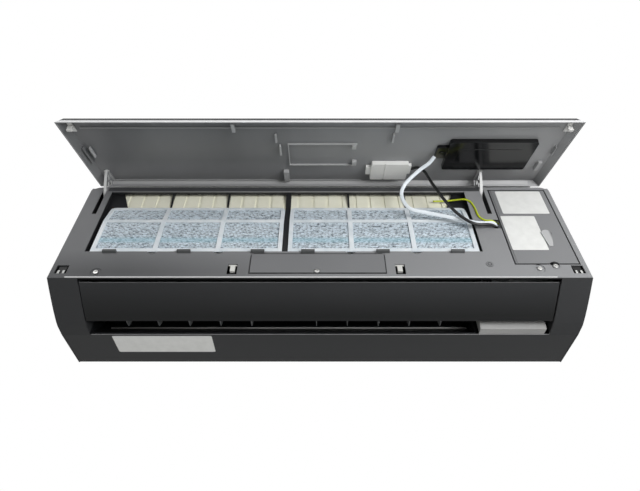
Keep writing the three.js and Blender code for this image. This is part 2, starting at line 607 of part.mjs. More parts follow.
const coilFront = () => solidOf(
  finBlock(COIL_TOP - COIL_BOTTOM).translate(0, COIL_FRONT_Y, COIL_BOTTOM),
);

const REAR_SLAB_LEAN = THREE.MathUtils.degToRad(58);
const REAR_SLAB_HEIGHT = 165;
const REAR_SLAB_TOP = [COIL_FRONT_Y + COIL_DEPTH + 18, COIL_TOP - 4];
const REAR_SLAB_FOOT = REAR_SLAB_TOP[1] - COIL_DEPTH * Math.sin(REAR_SLAB_LEAN)
  - REAR_SLAB_HEIGHT * Math.cos(REAR_SLAB_LEAN);
const coilRear = () => {
  const block = finBlock(REAR_SLAB_HEIGHT).translate(0, -COIL_DEPTH, -REAR_SLAB_HEIGHT);
  return solidOf(block.rotateX(REAR_SLAB_LEAN).translate(0, REAR_SLAB_TOP[0], REAR_SLAB_TOP[1]));
};

const coilPlate = (x0, x1, bendX) => {
  const front = box(x0, x1, COIL_FRONT_Y, COIL_FRONT_Y + COIL_DEPTH, COIL_BOTTOM, COIL_TOP);
  const lean = REAR_SLAB_LEAN;
  const rear = solidOf(
    new THREE.BoxGeometry(x1 - x0, COIL_DEPTH, REAR_SLAB_HEIGHT)
      .translate((x0 + x1) / 2, -COIL_DEPTH / 2, -REAR_SLAB_HEIGHT / 2)
      .rotateX(lean).translate(0, REAR_SLAB_TOP[0], REAR_SLAB_TOP[1]),
  );
  const bridge = box(
    x0, x1, COIL_FRONT_Y + 4, REAR_SLAB_TOP[0] + 14, COIL_TOP - 26, COIL_TOP - 14,
  );
  const outward = Math.sign(bendX);
  const faceX = outward < 0 ? x0 : x1;
  const bends = [];
  const count = 4;
  for (let i = 0; i < count; i += 1) {
    const z = COIL_BOTTOM + 24 + i * (COIL_TOP - COIL_BOTTOM - 48) / (count - 1);
    bends.push(uBend(faceX, outward, COIL_FRONT_Y + COIL_DEPTH / 2, z));
  }
  return join(front, rear, bridge, bends);
};

const uBend = (x, outward, y, z) => {
  const radius = 9;
  const reach = 8;
  const points = [new THREE.Vector3(x - outward * 0.5, y, z - radius)];
  for (let i = 0; i <= 4; i += 1) {
    const angle = -Math.PI / 2 + Math.PI * i / 4;
    points.push(new THREE.Vector3(
      x + outward * (reach + radius * Math.cos(angle)), y, z + radius * Math.sin(angle),
    ));
  }
  points.push(new THREE.Vector3(x - outward * 0.5, y, z + radius));
  const section = new THREE.Shape();
  section.absarc(0, 0, 4, 0, Math.PI * 2);
  const path = new THREE.CatmullRomCurve3(points, false, 'centripetal');
  return solidOf(new THREE.ExtrudeGeometry(section, {
    steps: 6, curveSegments: 2, extrudePath: path,
  }));
};

// ---------------------------------------------------------------- fan
const FAN_LEFT = AIR_LEFT + 8;
const FAN_RIGHT = AIR_RIGHT - 8;

const fanWheel = () => {
  const blades = [];
  const chord = 13;
  for (let i = 0; i < FAN_BLADES; i += 1) {
    const blade = shapeOf([
      [0, 0], [chord * 0.6, 1.8], [chord, 5.6], [chord * 0.5, 3.2], [0, 1.7],
    ]);
    const turned = alongX(blade, FAN_LEFT + 1, FAN_RIGHT - 1)
      .translate([0, FAN_RADIUS - chord - 0.4, -3])
      .rotate([360 * i / FAN_BLADES, 0, 0])
      .translate([0, FAN_CENTRE[0], FAN_CENTRE[1]]);
    blades.push(turned);
  }
  const discs = [];
  for (let i = 0; i < FAN_DISCS; i += 1) {
    const x = FAN_LEFT + 1 + i * (FAN_RIGHT - FAN_LEFT - 4) / (FAN_DISCS - 1);
    const disc = rodX(x - 1, x + 3, FAN_CENTRE, FAN_RADIUS, 24);
    const inner = rodX(x - 2, x + 4, FAN_CENTRE, FAN_RADIUS - 17, 12);
    discs.push(i === 0 || i === FAN_DISCS - 1 ? disc : cut(disc, inner));
  }
  const shaft = join(
    rodX(AIR_LEFT - 16, FAN_LEFT + 2, FAN_CENTRE, SHAFT_RADIUS, 12),
    rodX(FAN_RIGHT - 2, AIR_RIGHT + 22, FAN_CENTRE, SHAFT_RADIUS, 12),
  );
  return join(discs, blades, shaft);
};

const fanBearing = () => cut(
  join(
    rodX(AIR_LEFT - 14, AIR_LEFT - 3 - GAP, FAN_CENTRE, 17, 16),
    rodX(AIR_LEFT - 4, AIR_LEFT + 1, FAN_CENTRE, 13, 16),
  ),
  rodX(AIR_LEFT - 20, AIR_LEFT + 3, FAN_CENTRE, SHAFT_RADIUS + GAP, 12),
);

const fanMotor = () => cut(
  join(
    rodX(AIR_RIGHT + 20, AIR_RIGHT + 20 + MOTOR_LENGTH, FAN_CENTRE, MOTOR_RADIUS, 24),
    rodX(AIR_RIGHT + 12, AIR_RIGHT + 21, FAN_CENTRE, 14, 16),
  ),
  rodX(AIR_RIGHT + 10, AIR_RIGHT + 26, FAN_CENTRE, SHAFT_RADIUS + GAP, 12),
);

// ---------------------------------------------------------------- outlet duct, vanes
const TONGUE = [93, 110]; // stabiliser edge below the fan
const DUCT_ROOF = [[14, 58], [40, 78], [86, 93], TONGUE];
const DUCT_END = 1.5; // end walls
const PAN_RIM = WINDOW_BOTTOM - 9;
const VANE_PIVOT_Y = 74;
const VANE_FOOT_Z = 84; // vanes hang below this
const LINK_Z = 53;
const LINK_OFFSET = 20; // link pins stand this far in front of the pivots
const LINK_THICK = 4;
const LINK_PIN = 1.5;
const LINK_PLAY = 0.5;

const outletDuct = () => {
  const roof = alongX(wallShape(DUCT_ROOF, SKIN), AIR_LEFT + 1, AIR_RIGHT - 1);
  const pan = alongX(shapeOf([
    [COIL_FRONT_Y - 6, PAN_RIM], [COIL_FRONT_Y - 8, PAN_RIM], [COIL_FRONT_Y - 8, 104],
    [30, 92], [86.5, 93], TONGUE, [90, PAN_RIM + 6], [88, PAN_RIM + 6], [88, 110], [64, 95],
    [32, 95], [COIL_FRONT_Y - 6, 106],
  ]), AIR_LEFT + 1, AIR_RIGHT - 1);
  const beam = alongX(shapeOf([
    [VANE_PIVOT_Y - 12, VANE_FOOT_Z], [VANE_PIVOT_Y + 8, VANE_FOOT_Z],
    [VANE_PIVOT_Y + 8, VANE_FOOT_Z + 14], [VANE_PIVOT_Y - 12, VANE_FOOT_Z + 9.5],
  ]), AIR_LEFT + 1, AIR_RIGHT - 1);
  const ends = [AIR_LEFT + 1, AIR_RIGHT - 1 - DUCT_END].map((x) => alongX(shapeOf([
    [12, 58], [14, 50], [56, 40], [96, 58], TONGUE, [90, 116], [COIL_FRONT_Y - 8, 110],
  ]), x, x + DUCT_END));
  const spigot = rodX(AIR_LEFT - 22, AIR_LEFT + 2, [46, 96.5], 7, 12);
  const perches = [AIR_LEFT + 12, AIR_RIGHT - 20].map((x) => box(
    x, x + 8, COIL_FRONT_Y + 2, COIL_FRONT_Y + COIL_DEPTH - 2, 93, COIL_BOTTOM - GAP,
  ));
  const body = join(roof, pan, beam, ends, spigot, perches);
  return cut(body, vaneXs().map((x) => rodZ(
    VANE_FOOT_Z - 1, VANE_FOOT_Z + 7, x, VANE_PIVOT_Y, VANE_PIN + GAP, 10,
  )));
};

const vaneXs = () => {
  const xs = [];
  for (let i = 0; i < VANE_COUNT; i += 1) {
    const reach = DIVIDER_GAP / 2 + i * VANE_PITCH;
    xs.push(VANE_DIVIDER - reach, VANE_DIVIDER + reach);
  }
  return xs.sort((a, b) => a - b);
};

// Drawn about its own pivot, whose lower bearing face is z = 0.
const vane = () => {
  const outline = shapeOf([
    [-24, -10], [-6, -1], [30, -1], [74, -22], [75, -36], [67, -51], [54, -52], [10, -42],
    [-8, -25], [-22, -25], [-26, -18],
  ]);
  const plate = alongX(outline, -VANE_THICK / 2, VANE_THICK / 2);
  const pivot = rodZ(-6, 6, 0, 0, VANE_PIN, 8);
  const tail = rodZ(LINK_Z - VANE_FOOT_Z - 1, -20, 0, -LINK_OFFSET, LINK_PIN, 6);
  return join(plate, pivot, tail);
};

const linkBar = (xs) => {
  const y = VANE_PIVOT_Y - LINK_OFFSET;
  const z0 = LINK_Z;
  const bar = box(xs[0] - 12, xs[xs.length - 1] + 12, y - 6, y + 8, z0, z0 + LINK_THICK);
  const half = LINK_PIN + LINK_PLAY;
  const slots = xs.map((x) => box(
    x - half, x + half, y - half, y + half + 3, z0 - 1, z0 + LINK_THICK + 1,
  ));
  return cut(bar, slots);
};

const vaneMotor = () => join(
  rodZ(60, 78, AIR_RIGHT + 18, 46, 13, 16),
  box(AIR_RIGHT - 1 + GAP, AIR_RIGHT + 8, 36, 56, 62, 72),
  rodZ(54, 61, AIR_RIGHT + 18, 46, 3, 10),
);

const flapMotor = () => cut(
  join(
    rodX(FLAP_RIGHT + 5 + GAP, FLAP_RIGHT + 26, FLAP_PIVOT, 13, 16),
    rodX(FLAP_RIGHT + 5 + GAP, FLAP_RIGHT + 8, FLAP_PIVOT, 16, 16),
  ),
  rodX(FLAP_RIGHT + 5, FLAP_RIGHT + 9, FLAP_PIVOT, 3 + GAP, 12),
);

const OUTLET_BLOCK = [AIR_RIGHT + 6, FLAP_RIGHT - 6, 106.5, 124, SKIN, 34]; // x, y and z limits
const outletBlock = () => {
  const [x0, x1, y0, y1, z0, z1] = OUTLET_BLOCK;
  const shell = alongX(shapeOf([
    [y0, z0 + 12], [y0 + 3, z0], [y1, z0], [y1, z1], [y0 + 6, z1],
  ]), x0, x1);
  const foot = box(x0, x1, y1 - 2, y1 + 16, z0, z0 + 2.4);
  const hollow = box(x0 + 2, x1 - 2, y0 + 9, y1 + 1, z0 + 4, z1 - 2);
  return join(cut(shell, hollow), foot);
};

// ---------------------------------------------------------------- flap
const outletFlap = () => {
  const inner = louverPoints.filter(([y]) => y > FLAP_FRONT_Y + 1 && y < FLAP_REAR_Y - 1);
  const path = [
    [FLAP_FRONT_Y, louverAt(FLAP_FRONT_Y)], ...inner, [FLAP_REAR_Y, louverAt(FLAP_REAR_Y)],
  ];
  const skin = alongX(wallShape(path, FLAP_THICK), FLAP_LEFT, FLAP_RIGHT);
  const arms = [FLAP_LEFT + 1, FLAP_RIGHT - 4].map((x) => alongX(shapeOf([
    [FLAP_PIVOT[0] - 30, louverAt(FLAP_PIVOT[0] - 30) + 1],
    [FLAP_PIVOT[0] + 8, louverAt(FLAP_PIVOT[0] + 8) + 1],
    [FLAP_PIVOT[0] + 7, FLAP_PIVOT[1] + 2], [FLAP_PIVOT[0], FLAP_PIVOT[1] + 7],
    [FLAP_PIVOT[0] - 7, FLAP_PIVOT[1] + 2],
  ]), x, x + 3));
  const pins = [
    rodX(AIR_LEFT + 3.5, FLAP_LEFT + 2, FLAP_PIVOT, 3, 12),
    rodX(FLAP_RIGHT - 2, FLAP_RIGHT + 4.5, FLAP_PIVOT, 3, 12),
  ];
  return join(skin, arms, pins);
};

// ---------------------------------------------------------------- front panel
const ARM_REACH = PANEL_RIM + PANEL_TRAY - GAP;
const ARM_TIP = [-5, -45]; // stop at the foot of the arm's front edge
const armFront = () => new THREE.QuadraticBezierCurve(
  new THREE.Vector2(...ARM_TIP), new THREE.Vector2(-40, -66), new THREE.Vector2(-ARM_REACH, -72),
);

const armShape = () => {
  const shape = new THREE.Shape();
  shape.absarc(0, 0, 8, Math.PI * 0.5, -Math.PI * 0.3, true);
  shape.lineTo(ARM_TIP[0] + 5, ARM_TIP[1] + 2);
  sample(armFront(), 5).forEach(([y, z]) => shape.lineTo(y, z));
  shape.lineTo(-ARM_REACH, -34);
  shape.quadraticCurveTo(-44, -12, 0, 8);
  return shape;
};

// A thin web pierced by a diamond lattice, with a broad rib along its front edge.
const LATTICE = 17;
const hingeArm = (x, pinEnd) => {
  const web = alongX(armShape(), x - ARM_WEB / 2, x + ARM_WEB / 2, 4);
  const rib = cut(
    alongX(wallShape(sample(armFront(), 5).reverse(), 2.6), x - ARM_FLANGE / 2, x + ARM_FLANGE / 2),
    box(x - ARM_FLANGE, x + ARM_FLANGE, -ARM_REACH - 9, -ARM_REACH, -90, 0),
  );
  const foot = box(
    x - ARM_FLANGE, x + ARM_FLANGE, -ARM_REACH, -ARM_REACH + 3, -70, -34,
  );
  const pin = pinEnd < x
    ? rodX(pinEnd, x, [0, 0], PIN_RADIUS) : rodX(x, pinEnd, [0, 0], PIN_RADIUS);
  const diamonds = [];
  for (let i = 0; i < 4; i += 1) {
    for (let j = 0; j < 2; j += 1) {
      const centre = [-66 + i * LATTICE * 0.92 + j * 3, -57 + i * 6 + j * LATTICE];
      diamonds.push(rodX(x - ARM_WEB, x + ARM_WEB, centre, LATTICE * 0.42, 4));
    }
  }
  return join(cut(web, diamonds), rib, foot, pin);
};

const panelBody = () => {
  const half = WIDTH / 2;
  const free = -PANEL_FLANGE - PANEL_LENGTH;
  const end = -PANEL_FLANGE + PANEL_OVERHANG;
  const outer = bevelled(
    -half, half, -PANEL_RIM - PANEL_THICK, -PANEL_RIM, free, end, PANEL_BEVEL, 6,
  );
  const wall = 2.2;
  const cavity = bevelled(
    -half + wall, half - wall, -PANEL_RIM - PANEL_TRAY, -PANEL_RIM + 0.2, free + wall,
    -PANEL_FLANGE - wall, PANEL_BEVEL, 6,
  );
  const overhang = box(
    -half - 1, half + 1, -PANEL_RIM - PANEL_TRAY, -PANEL_RIM + 1, -PANEL_FLANGE, end + 1,
  );
  const inner = -PANEL_RIM - PANEL_TRAY; // y of the skin's inner face
  const at = (a) => free + a; // distance from the free edge
  const rib = (x0, x1, a0, a1, high) => box(x0, x1, inner - 0.5, inner + high, at(a0), at(a1));
  const bracket = [
    rib(-71, 82, 84, 86, 5), rib(-71, 80, 162, 164, 5), rib(71, 80, 86, 98, 8),
    rib(74, 84, 146, 160, 8), rib(-71, -69, 84, 162, 4),
  ];
  const clips = [
    rib(-97, -93, 50, 76, 7), rib(-90, -86, 88, 122, 7), rib(156, 160, 50, 76, 7),
    rib(-185, -178, 12, 38, 9), rib(158, 166, 12, 38, 9), rib(half - 20, half - 18, 92, 120, 8),
    rib(half - 36, half - 27, 150, 180, 8), rib(-half + 15, -half + 19, 96, 150, 8),
    rib(-half + 29, -half + 32, 96, 130, 8), rib(-86, -74, PANEL_LENGTH - 56, PANEL_LENGTH - 16, 10),
  ];
  const stiffener = [
    rib(-half + 36, half - 36, 30, 32, 2.5),
    rib(-half + 29, COVER_LEFT - 297, PANEL_LENGTH - 12, PANEL_LENGTH - 10, 2.5),
  ];
  const body = cut(outer, cavity, overhang);
  return join(body, bracket, clips, stiffener);
};

const PANEL_INNER = -PANEL_RIM - PANEL_TRAY;
const PANEL_FREE = -PANEL_FLANGE - PANEL_LENGTH;

const displayBox = () => {
  const [x0, x1, a0, a1] = [
    COVER_LEFT - 113, COVER_LEFT + 79, PANEL_LENGTH - 172, PANEL_LENGTH - 70,
  ];
  const body = alongY(roundedRect(x0, x1, PANEL_FREE + a0, PANEL_FREE + a1, 6),
    PANEL_INNER + GAP, PANEL_INNER + PANEL_TRAY - 2, 3);
  const neck = alongY(roundedRect(x0 - 24, x0 + 4, PANEL_FREE + a0 + 22, PANEL_FREE + a0 + 62, 5),
    PANEL_INNER + GAP, PANEL_INNER + 8, 3);
  const boss = rodY(PANEL_INNER + 6, PANEL_INNER + 9.6, x0 - 12, PANEL_FREE + a0 + 42, 6, 14);
  const pad = box(x0 + 22, x1 - 30, PANEL_INNER + PANEL_TRAY - 3, PANEL_INNER + PANEL_TRAY - 1.2,
    PANEL_FREE + a0 + 24, PANEL_FREE + a1 - 16);
  return join(body, neck, boss, pad);
};

const sensorModule = () => {
  const [x0, x1, a0, a1] = [
    COVER_LEFT - 277, COVER_LEFT - 191, PANEL_LENGTH - 90, PANEL_LENGTH - 28,
  ];
  const body = alongY(roundedRect(x0, x1, PANEL_FREE + a0, PANEL_FREE + a1, 3),
    PANEL_INNER + GAP, PANEL_INNER + PANEL_TRAY - 2, 2);
  const ends = [
    box(x0 - 12, x0 + 1, PANEL_INNER + 1, PANEL_INNER + 8, PANEL_FREE + a0 + 14, PANEL_FREE + a0 + 44),
    box(x1 - 1, x1 + 7, PANEL_INNER + 1, PANEL_INNER + 9, PANEL_FREE + a0 + 8, PANEL_FREE + a0 + 40),
  ];
  const groove = box(x0 + 30, x0 + 32, PANEL_INNER + 9, PANEL_INNER + 14,
    PANEL_FREE + a0 - 1, PANEL_FREE + a1 + 1);
  return cut(join(body, ends), groove);
};

const latch = (x) => {
  const a = 12;
  const foot = box(x - 5, x + 5, PANEL_INNER + GAP, PANEL_INNER + 3, PANEL_FREE + a, PANEL_FREE + a + 30);
  const prong = box(x - 5, x + 5, PANEL_INNER + 2.9, PANEL_INNER + PANEL_TRAY + 4,
    PANEL_FREE + a + 9, PANEL_FREE + a + 13);
  const hook = box(x - 5, x + 5, PANEL_INNER + PANEL_TRAY + 2, PANEL_INNER + PANEL_TRAY + 4,
    PANEL_FREE + a + 7, PANEL_FREE + a + 13);
  return join(foot, prong, hook);
};

// ---------------------------------------------------------------- electrical section
const ELEC_DEPTH = 92;
const electricalBox = () => {
  const outer = box(COVER_LEFT + 6, COVER_RIGHT - 2, 5, ELEC_DEPTH, COVER_BOTTOM + 8, COVER_TOP - 46);
  const inner = box(COVER_LEFT + 8, COVER_RIGHT - 4, 3, ELEC_DEPTH - 2, COVER_BOTTOM + 10, COVER_TOP - 48);
  const hangers = [COVER_LEFT + 20, COVER_RIGHT - 30].map((x) => box(
    x, x + 14, ELEC_DEPTH - 2, BACK_FRONT - GAP, COVER_BOTTOM + 150, COVER_BOTTOM + 154,
  ));
  const posts = [COVER_LEFT + 20, COVER_RIGHT - 16].map((x) => rodY(
    ELEC_DEPTH - 22, ELEC_DEPTH - 1, x, COVER_BOTTOM + 100, 4, 10,
  ));
  return join(cut(outer, inner), hangers, posts);
};

const controlBoard = () => {
  const y0 = ELEC_DEPTH - 22 - GAP - 1.6;
  const board = box(COVER_LEFT + 10, COVER_RIGHT - 6, y0, y0 + 1.6, COVER_BOTTOM + 24, COVER_TOP - 60);
  const pieces = [
    box(COVER_LEFT + 20, COVER_LEFT + 50, y0 - 24, y0 + 0.1, COVER_BOTTOM + 110, COVER_BOTTOM + 145),
    rodY(y0 - 30, y0 + 0.1, COVER_LEFT + 80, COVER_BOTTOM + 130, 11, 14),
    box(COVER_LEFT + 66, COVER_LEFT + 96, y0 - 14, y0 + 0.1, COVER_BOTTOM + 40, COVER_BOTTOM + 62),
  ];
  return join(board, pieces);
};

const terminalBlock = () => {
  const z0 = COVER_BOTTOM + 10 + GAP;
  const base = box(COVER_LEFT + 20, COVER_RIGHT - 20, 12, 36, z0, z0 + 12);
  const combs = [];
  for (let i = 0; i <= 5; i += 1) {
    const x = COVER_LEFT + 20 + i * (COVER_RIGHT - COVER_LEFT - 42) / 5;
    combs.push(box(x, x + 2, 12, 36, z0 + 11.9, z0 + 20));
  }
  return join(base, combs);
};

const electricalCover = () => {
  const plate = box(COVER_LEFT, COVER_RIGHT, 0, SKIN, COVER_BOTTOM, COVER_TOP);
  const rim = cut(
    box(COVER_LEFT + 3, COVER_RIGHT - 3, SKIN - 0.1, 4.6, COVER_BOTTOM + 3, COVER_TOP - 3),
    box(COVER_LEFT + 5, COVER_RIGHT - 5, SKIN - 1, 6, COVER_BOTTOM + 5, COVER_TOP - 5),
  );
  const groove = box(COVER_LEFT + 4, COVER_LEFT + 5.6, -1, 0.9, COVER_BOTTOM - 1, COVER_TOP + 1);
  const bumpX = COVER_LEFT + 91;
  const drop = new THREE.Shape();
  drop.absarc(bumpX, 172, 11, -Math.PI * 0.1, Math.PI * 1.1);
  drop.lineTo(bumpX - 6, 134);
  drop.lineTo(bumpX + 2, 134);
  const bump = alongY(drop, -2.4, 0.1, 8);
  const screwBite = rodY(-1, SKIN + 3, COVER_SCREW[0], COVER_SCREW[1] + 2, 11, 16);
  return cut(join(plate, rim, bump), groove, screwBite);
};

const centreCover = () => {
  const [x0, x1, z0, z1] = [RECESS[0] + GAP, RECESS[1] - GAP, RECESS[2] + GAP, RECESS[3] - GAP];
  const shape = new THREE.Shape();
  const radius = 8;
  shape.moveTo(x0, z0);
  shape.lineTo(x1, z0);
  shape.lineTo(x1, z1 - radius);
  shape.absarc(x1 - radius, z1 - radius, radius, 0, Math.PI / 2);
  shape.lineTo(x0 + radius, z1);
  shape.absarc(x0 + radius, z1 - radius, radius, Math.PI / 2, Math.PI);
  return cut(alongY(shape, -1.2, 0.6, 4), rodY(-3, 3, PLATE_SCREW[0], PLATE_SCREW[1], 3, 10));
};

const screwAt = (x, z, headY, length) => join(
  rodY(headY, headY + 3, x, z, 5, 16),
  rodY(headY + 2.9, headY + length, x, z, 2.1, 10),
);

// ---------------------------------------------------------------- pipes
const pipe = ({ z, radius, nut }) => join(
  rodX(-60, 420, [PIPE_Y, z], radius, 12),
  rodX(-78, -59, [PIPE_Y, z], nut, 6),
  rodX(419, 428, [PIPE_Y, z], radius + 1.2, 12),
);

// ---------------------------------------------------------------- leads in free air
const lead = (points, radiusX, radiusY, steps) => {
  const section = new THREE.Shape();
  section.absellipse(0, 0, radiusX, radiusY, 0, Math.PI * 2);
  const path = new THREE.CatmullRomCurve3(points.map((p) => new THREE.Vector3(...p)), false, 'centripetal');
  return solidOf(new THREE.ExtrudeGeometry(section, { steps, curveSegments: 4, extrudePath: path }));
};

// Points are given from the cover's left edge, and from the front face and the underside.
// Display box neck to the electrical box.
const DISPLAY_ROUTE = [
  [-138.4, -88, 333], [-149, -74, 328], [-170, -60, 320], [-205, -38, 293], [-213, -28, 270],
  [-199, -20, 234], [-156, -16, 222], [-103, -14, 208], [-52, -12, 194], [-19, -6, 200],
  [-6, 8, 205], [-1, 14, 206], [5.4, 14, 206],
];
// Grey module to the electrical box.
const MODULE_ROUTE = [
  [-182.5, -39, 353], [-169, -45, 350], [-157, -48, 333], [-143, -40, 302], [-120, -30, 250],
  [-94, -24, 206], [-65, -18, 186], [-27, -11, 190], [-12, 1, 195], [-6, 9, 196.5],
  [-1, 13, 196.5], [5.4, 13, 196.5],
];
// Fin block to the terminal beside the port, in front of the frame from there on.
const EARTH_ROUTE = [
  [-133, 9, 292], [-101, 8, 292], [-77, 3, 290], [-64, -2, 286], [-52, -2, 279],
  [-46, -2, 260], [-42, -2, 226], [-31, -2, 214], [-18, -2.4, 212.5], [-10, 3, 213.5],
  [-4, 8, 214.5], [5.4, 9, 214.5],
];

// ---------------------------------------------------------------- small parts
const manualButton = () => join(
  rodY(-0.8, SKIN + 1, BUTTON[0], BUTTON[1], BUTTON_RADIUS, 20),
  rodY(SKIN + BUTTON_TRAVEL, SKIN + BUTTON_TRAVEL + 2, BUTTON[0], BUTTON[1], BUTTON_RADIUS + 2, 20),
);
const BUTTON_TRAVEL = 0.5;

const latchCatch = (x, z) => join(
  box(x - 8, x + 8, SKIN + GAP, SKIN + 3, z - 14, z + 14),
  box(x - 7, x - 3, 0.8, SKIN + 1, z - 10, z - 2),
  box(x + 3, x + 7, 0.8, SKIN + 1, z - 10, z - 2),
);

// A white spring clip that hangs in a latch hole of the front face.
const holeClip = (x) => join(
  box(x - 9, x + 9, SKIN + GAP, SKIN + 2.4, LATCH_HOLE[1] - 2, LATCH_HOLE[1] + 9),
  box(x - 5, x + 5, SKIN + GAP, SKIN + 6, LATCH_HOLE[1] - 17, LATCH_HOLE[1] - 1),
);

// ---------------------------------------------------------------- assembly
add('wall_plate', wallPlate(), STEEL);
add('rear_chassis', rearChassis(), BLACK);
add('front_frame', frontFrame(), CHARCOAL);
FILTER_CENTRES.forEach((x, i) => {
  const side = ['left', 'right'][i];
  add(`filter_frame_${side}`, filterFrame(x), PALE);
  add(`filter_mesh_${side}`, filterMesh(x), MESH);
});
add('coil_front', coilFront(), GOLD);
add('coil_rear', coilRear(), GOLD);
add('coil_end_left', coilPlate(COIL_LEFT - 2 - GAP, COIL_LEFT - GAP, -1), COPPER);
add('coil_end_right', coilPlate(COIL_RIGHT + GAP, COIL_RIGHT + 2 + GAP, 1), COPPER);
add('fan_wheel', fanWheel(), BLACK);
add('fan_bearing', fanBearing(), BLACK);
add('fan_motor', fanMotor(), STEEL);
add('outlet_duct', outletDuct(), DARK);
vaneXs().forEach((x, i) => {
  const mesh = add(`vane_${String(i + 1).padStart(2, '0')}`, vane(), DARK);
  mesh.position.set(x, VANE_PIVOT_Y, VANE_FOOT_Z - GAP);
});
add('link_bar_left', linkBar(vaneXs().slice(0, VANE_COUNT)), DARK);
add('link_bar_right', linkBar(vaneXs().slice(VANE_COUNT)), DARK);
add('vane_motor', vaneMotor(), BLACK);
add('flap_motor', flapMotor(), BLACK);
add('outlet_block', outletBlock(), GREY);
add('outlet_flap', outletFlap(), DARK);
add('front_panel', panelBody(), CHARCOAL, panel);
add('hinge_arm_left', hingeArm(ARM_LEFT_X, -WIDTH / 2 + SKIN + GAP), CHARCOAL, panel);
add('hinge_arm_right', hingeArm(ARM_RIGHT_X, ARM_SLOTS[1][1] + 5), CHARCOAL, panel);
add('display_box', displayBox(), BLACK, panel);
add('sensor_module', sensorModule(), GREY, panel);
SOCKETS.forEach(([x], i) => {
  add(`latch_${['left', 'right'][i]}`, latch(x), CHARCOAL, panel);
});
add('electrical_box', electricalBox(), STEEL);
add('control_board', controlBoard(), GREEN);
add('terminal_block', terminalBlock(), WHITE);
add('electrical_cover', electricalCover(), CHARCOAL);
add('centre_cover', centreCover(), CHARCOAL);
FRAME_SCREWS.forEach(([x, z], i) => {
  add(`frame_screw_${['left', 'right'][i]}`, screwAt(x, z, SCREW_RECESS - GAP - 3, 12.5), STEEL);
});
add('cover_screw', screwAt(COVER_SCREW[0], COVER_SCREW[1], SCREW_RECESS - GAP - 3, 10), STEEL);
add('plate_screw', screwAt(PLATE_SCREW[0], PLATE_SCREW[1], -1.2 - GAP - 3, 12), STEEL);
add('gas_pipe', pipe(GAS_PIPE), COPPER);
add('liquid_pipe', pipe(LIQUID_PIPE), COPPER);
add('manual_button', manualButton(), DARK);
SOCKETS.forEach(([x, z], i) => {
  add(`catch_${['left', 'right'][i]}`, latchCatch(x, z), PALE);
});
LATCH_HOLE_XS.forEach((x, i) => {
  add(`hole_clip_${['left', 'right'][i]}`, holeClip(x), WHITE);
});
const leads = new THREE.Group();
leads.position.x = COVER_LEFT;
unit.add(leads);
add('display_cable', lead(DISPLAY_ROUTE, 4.2, 1.7, 24), WHITE, leads);
add('module_cable', lead(MODULE_ROUTE, 2.4, 2.4, 24), BLACK, leads);
add('earth_wire', lead(EARTH_ROUTE, 1.5, 1.5, 22), EARTH, leads);

export default part;
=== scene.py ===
# %% [markdown]
# # The indoor unit of a split air conditioner, panel up
# The solids come ready made, in real size. This lesson gives them their looks:
# the moulded plastics, the woven filter nets, the coated fins and the leads.
# Everything is in metres, in the frame of the solids.

import collections
import math

import bpy
import numpy as np
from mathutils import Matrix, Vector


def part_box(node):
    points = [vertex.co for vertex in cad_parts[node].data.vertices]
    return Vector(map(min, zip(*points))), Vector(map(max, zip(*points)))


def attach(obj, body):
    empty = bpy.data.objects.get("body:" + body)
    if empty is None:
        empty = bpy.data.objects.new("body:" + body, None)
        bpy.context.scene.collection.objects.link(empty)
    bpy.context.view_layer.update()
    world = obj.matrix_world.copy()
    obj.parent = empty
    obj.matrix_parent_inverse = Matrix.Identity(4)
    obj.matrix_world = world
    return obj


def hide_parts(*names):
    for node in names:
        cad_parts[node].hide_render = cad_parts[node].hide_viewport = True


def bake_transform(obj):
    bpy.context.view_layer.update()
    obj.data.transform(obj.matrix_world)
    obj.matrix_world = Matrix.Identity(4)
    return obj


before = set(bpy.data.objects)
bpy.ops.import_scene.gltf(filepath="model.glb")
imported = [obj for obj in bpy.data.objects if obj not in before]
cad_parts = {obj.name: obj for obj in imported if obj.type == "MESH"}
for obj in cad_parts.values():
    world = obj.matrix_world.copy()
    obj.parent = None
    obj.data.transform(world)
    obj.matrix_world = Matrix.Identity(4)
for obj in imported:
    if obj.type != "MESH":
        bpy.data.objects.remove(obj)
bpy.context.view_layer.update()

# %% [markdown]
# The unit was drawn from its own front face and underside, in millimetres. Such a
# point could be typed again in metres for each piece, but then a drawing could not be
# compared with this file. So one function carries it into the shared frame, and two
# short ones do so for a single depth or height.

# %% Places
UNIT_ORIGIN = np.array([0.0, 234.0, 165.0])


def place(points):
    """Unit millimetres to frame metres: the origin is taken off, the rest divided by 1000."""
    return (np.asarray(points, float) - UNIT_ORIGIN) / 1000


def unit_y(depth):
    """A depth behind the unit's front face, in millimetres, as a frame coordinate."""
    return place([0, depth, 0])[1]


def unit_z(height):
    """A height above the unit's underside, in millimetres, as a frame coordinate."""
    return place([0, 0, height])[2]


print("front face at y =", unit_y(0), "and underside at z =", unit_z(0))

# %% [markdown]
# The camera looks up at the unit from below, as someone cleaning the filters does.
# A lens of 28 mm on a 36 mm sensor gives the strong taper from the front to the back.

# %% Camera
CAMERA_PLACE = (0.0, -0.9817, -0.7702)
CAMERA_PITCH = 44.8  # degrees above the horizon
camera = bpy.data.objects.new("camera", bpy.data.cameras.new("camera"))
bpy.context.scene.collection.objects.link(camera)
camera.data.sensor_width = 36.0
camera.data.lens = 28.125
camera.location = CAMERA_PLACE
camera.rotation_euler = (math.radians(90 + CAMERA_PITCH), 0.0, 0.0)
bpy.context.scene.camera = camera
print("the picture spans", round(math.degrees(camera.data.angle), 1), "degrees")

# %% [markdown]
# Every new piece is a grid of points worked out as one array. The faces are the
# squares of that grid, and a grid that closes on itself joins its last row to the first.


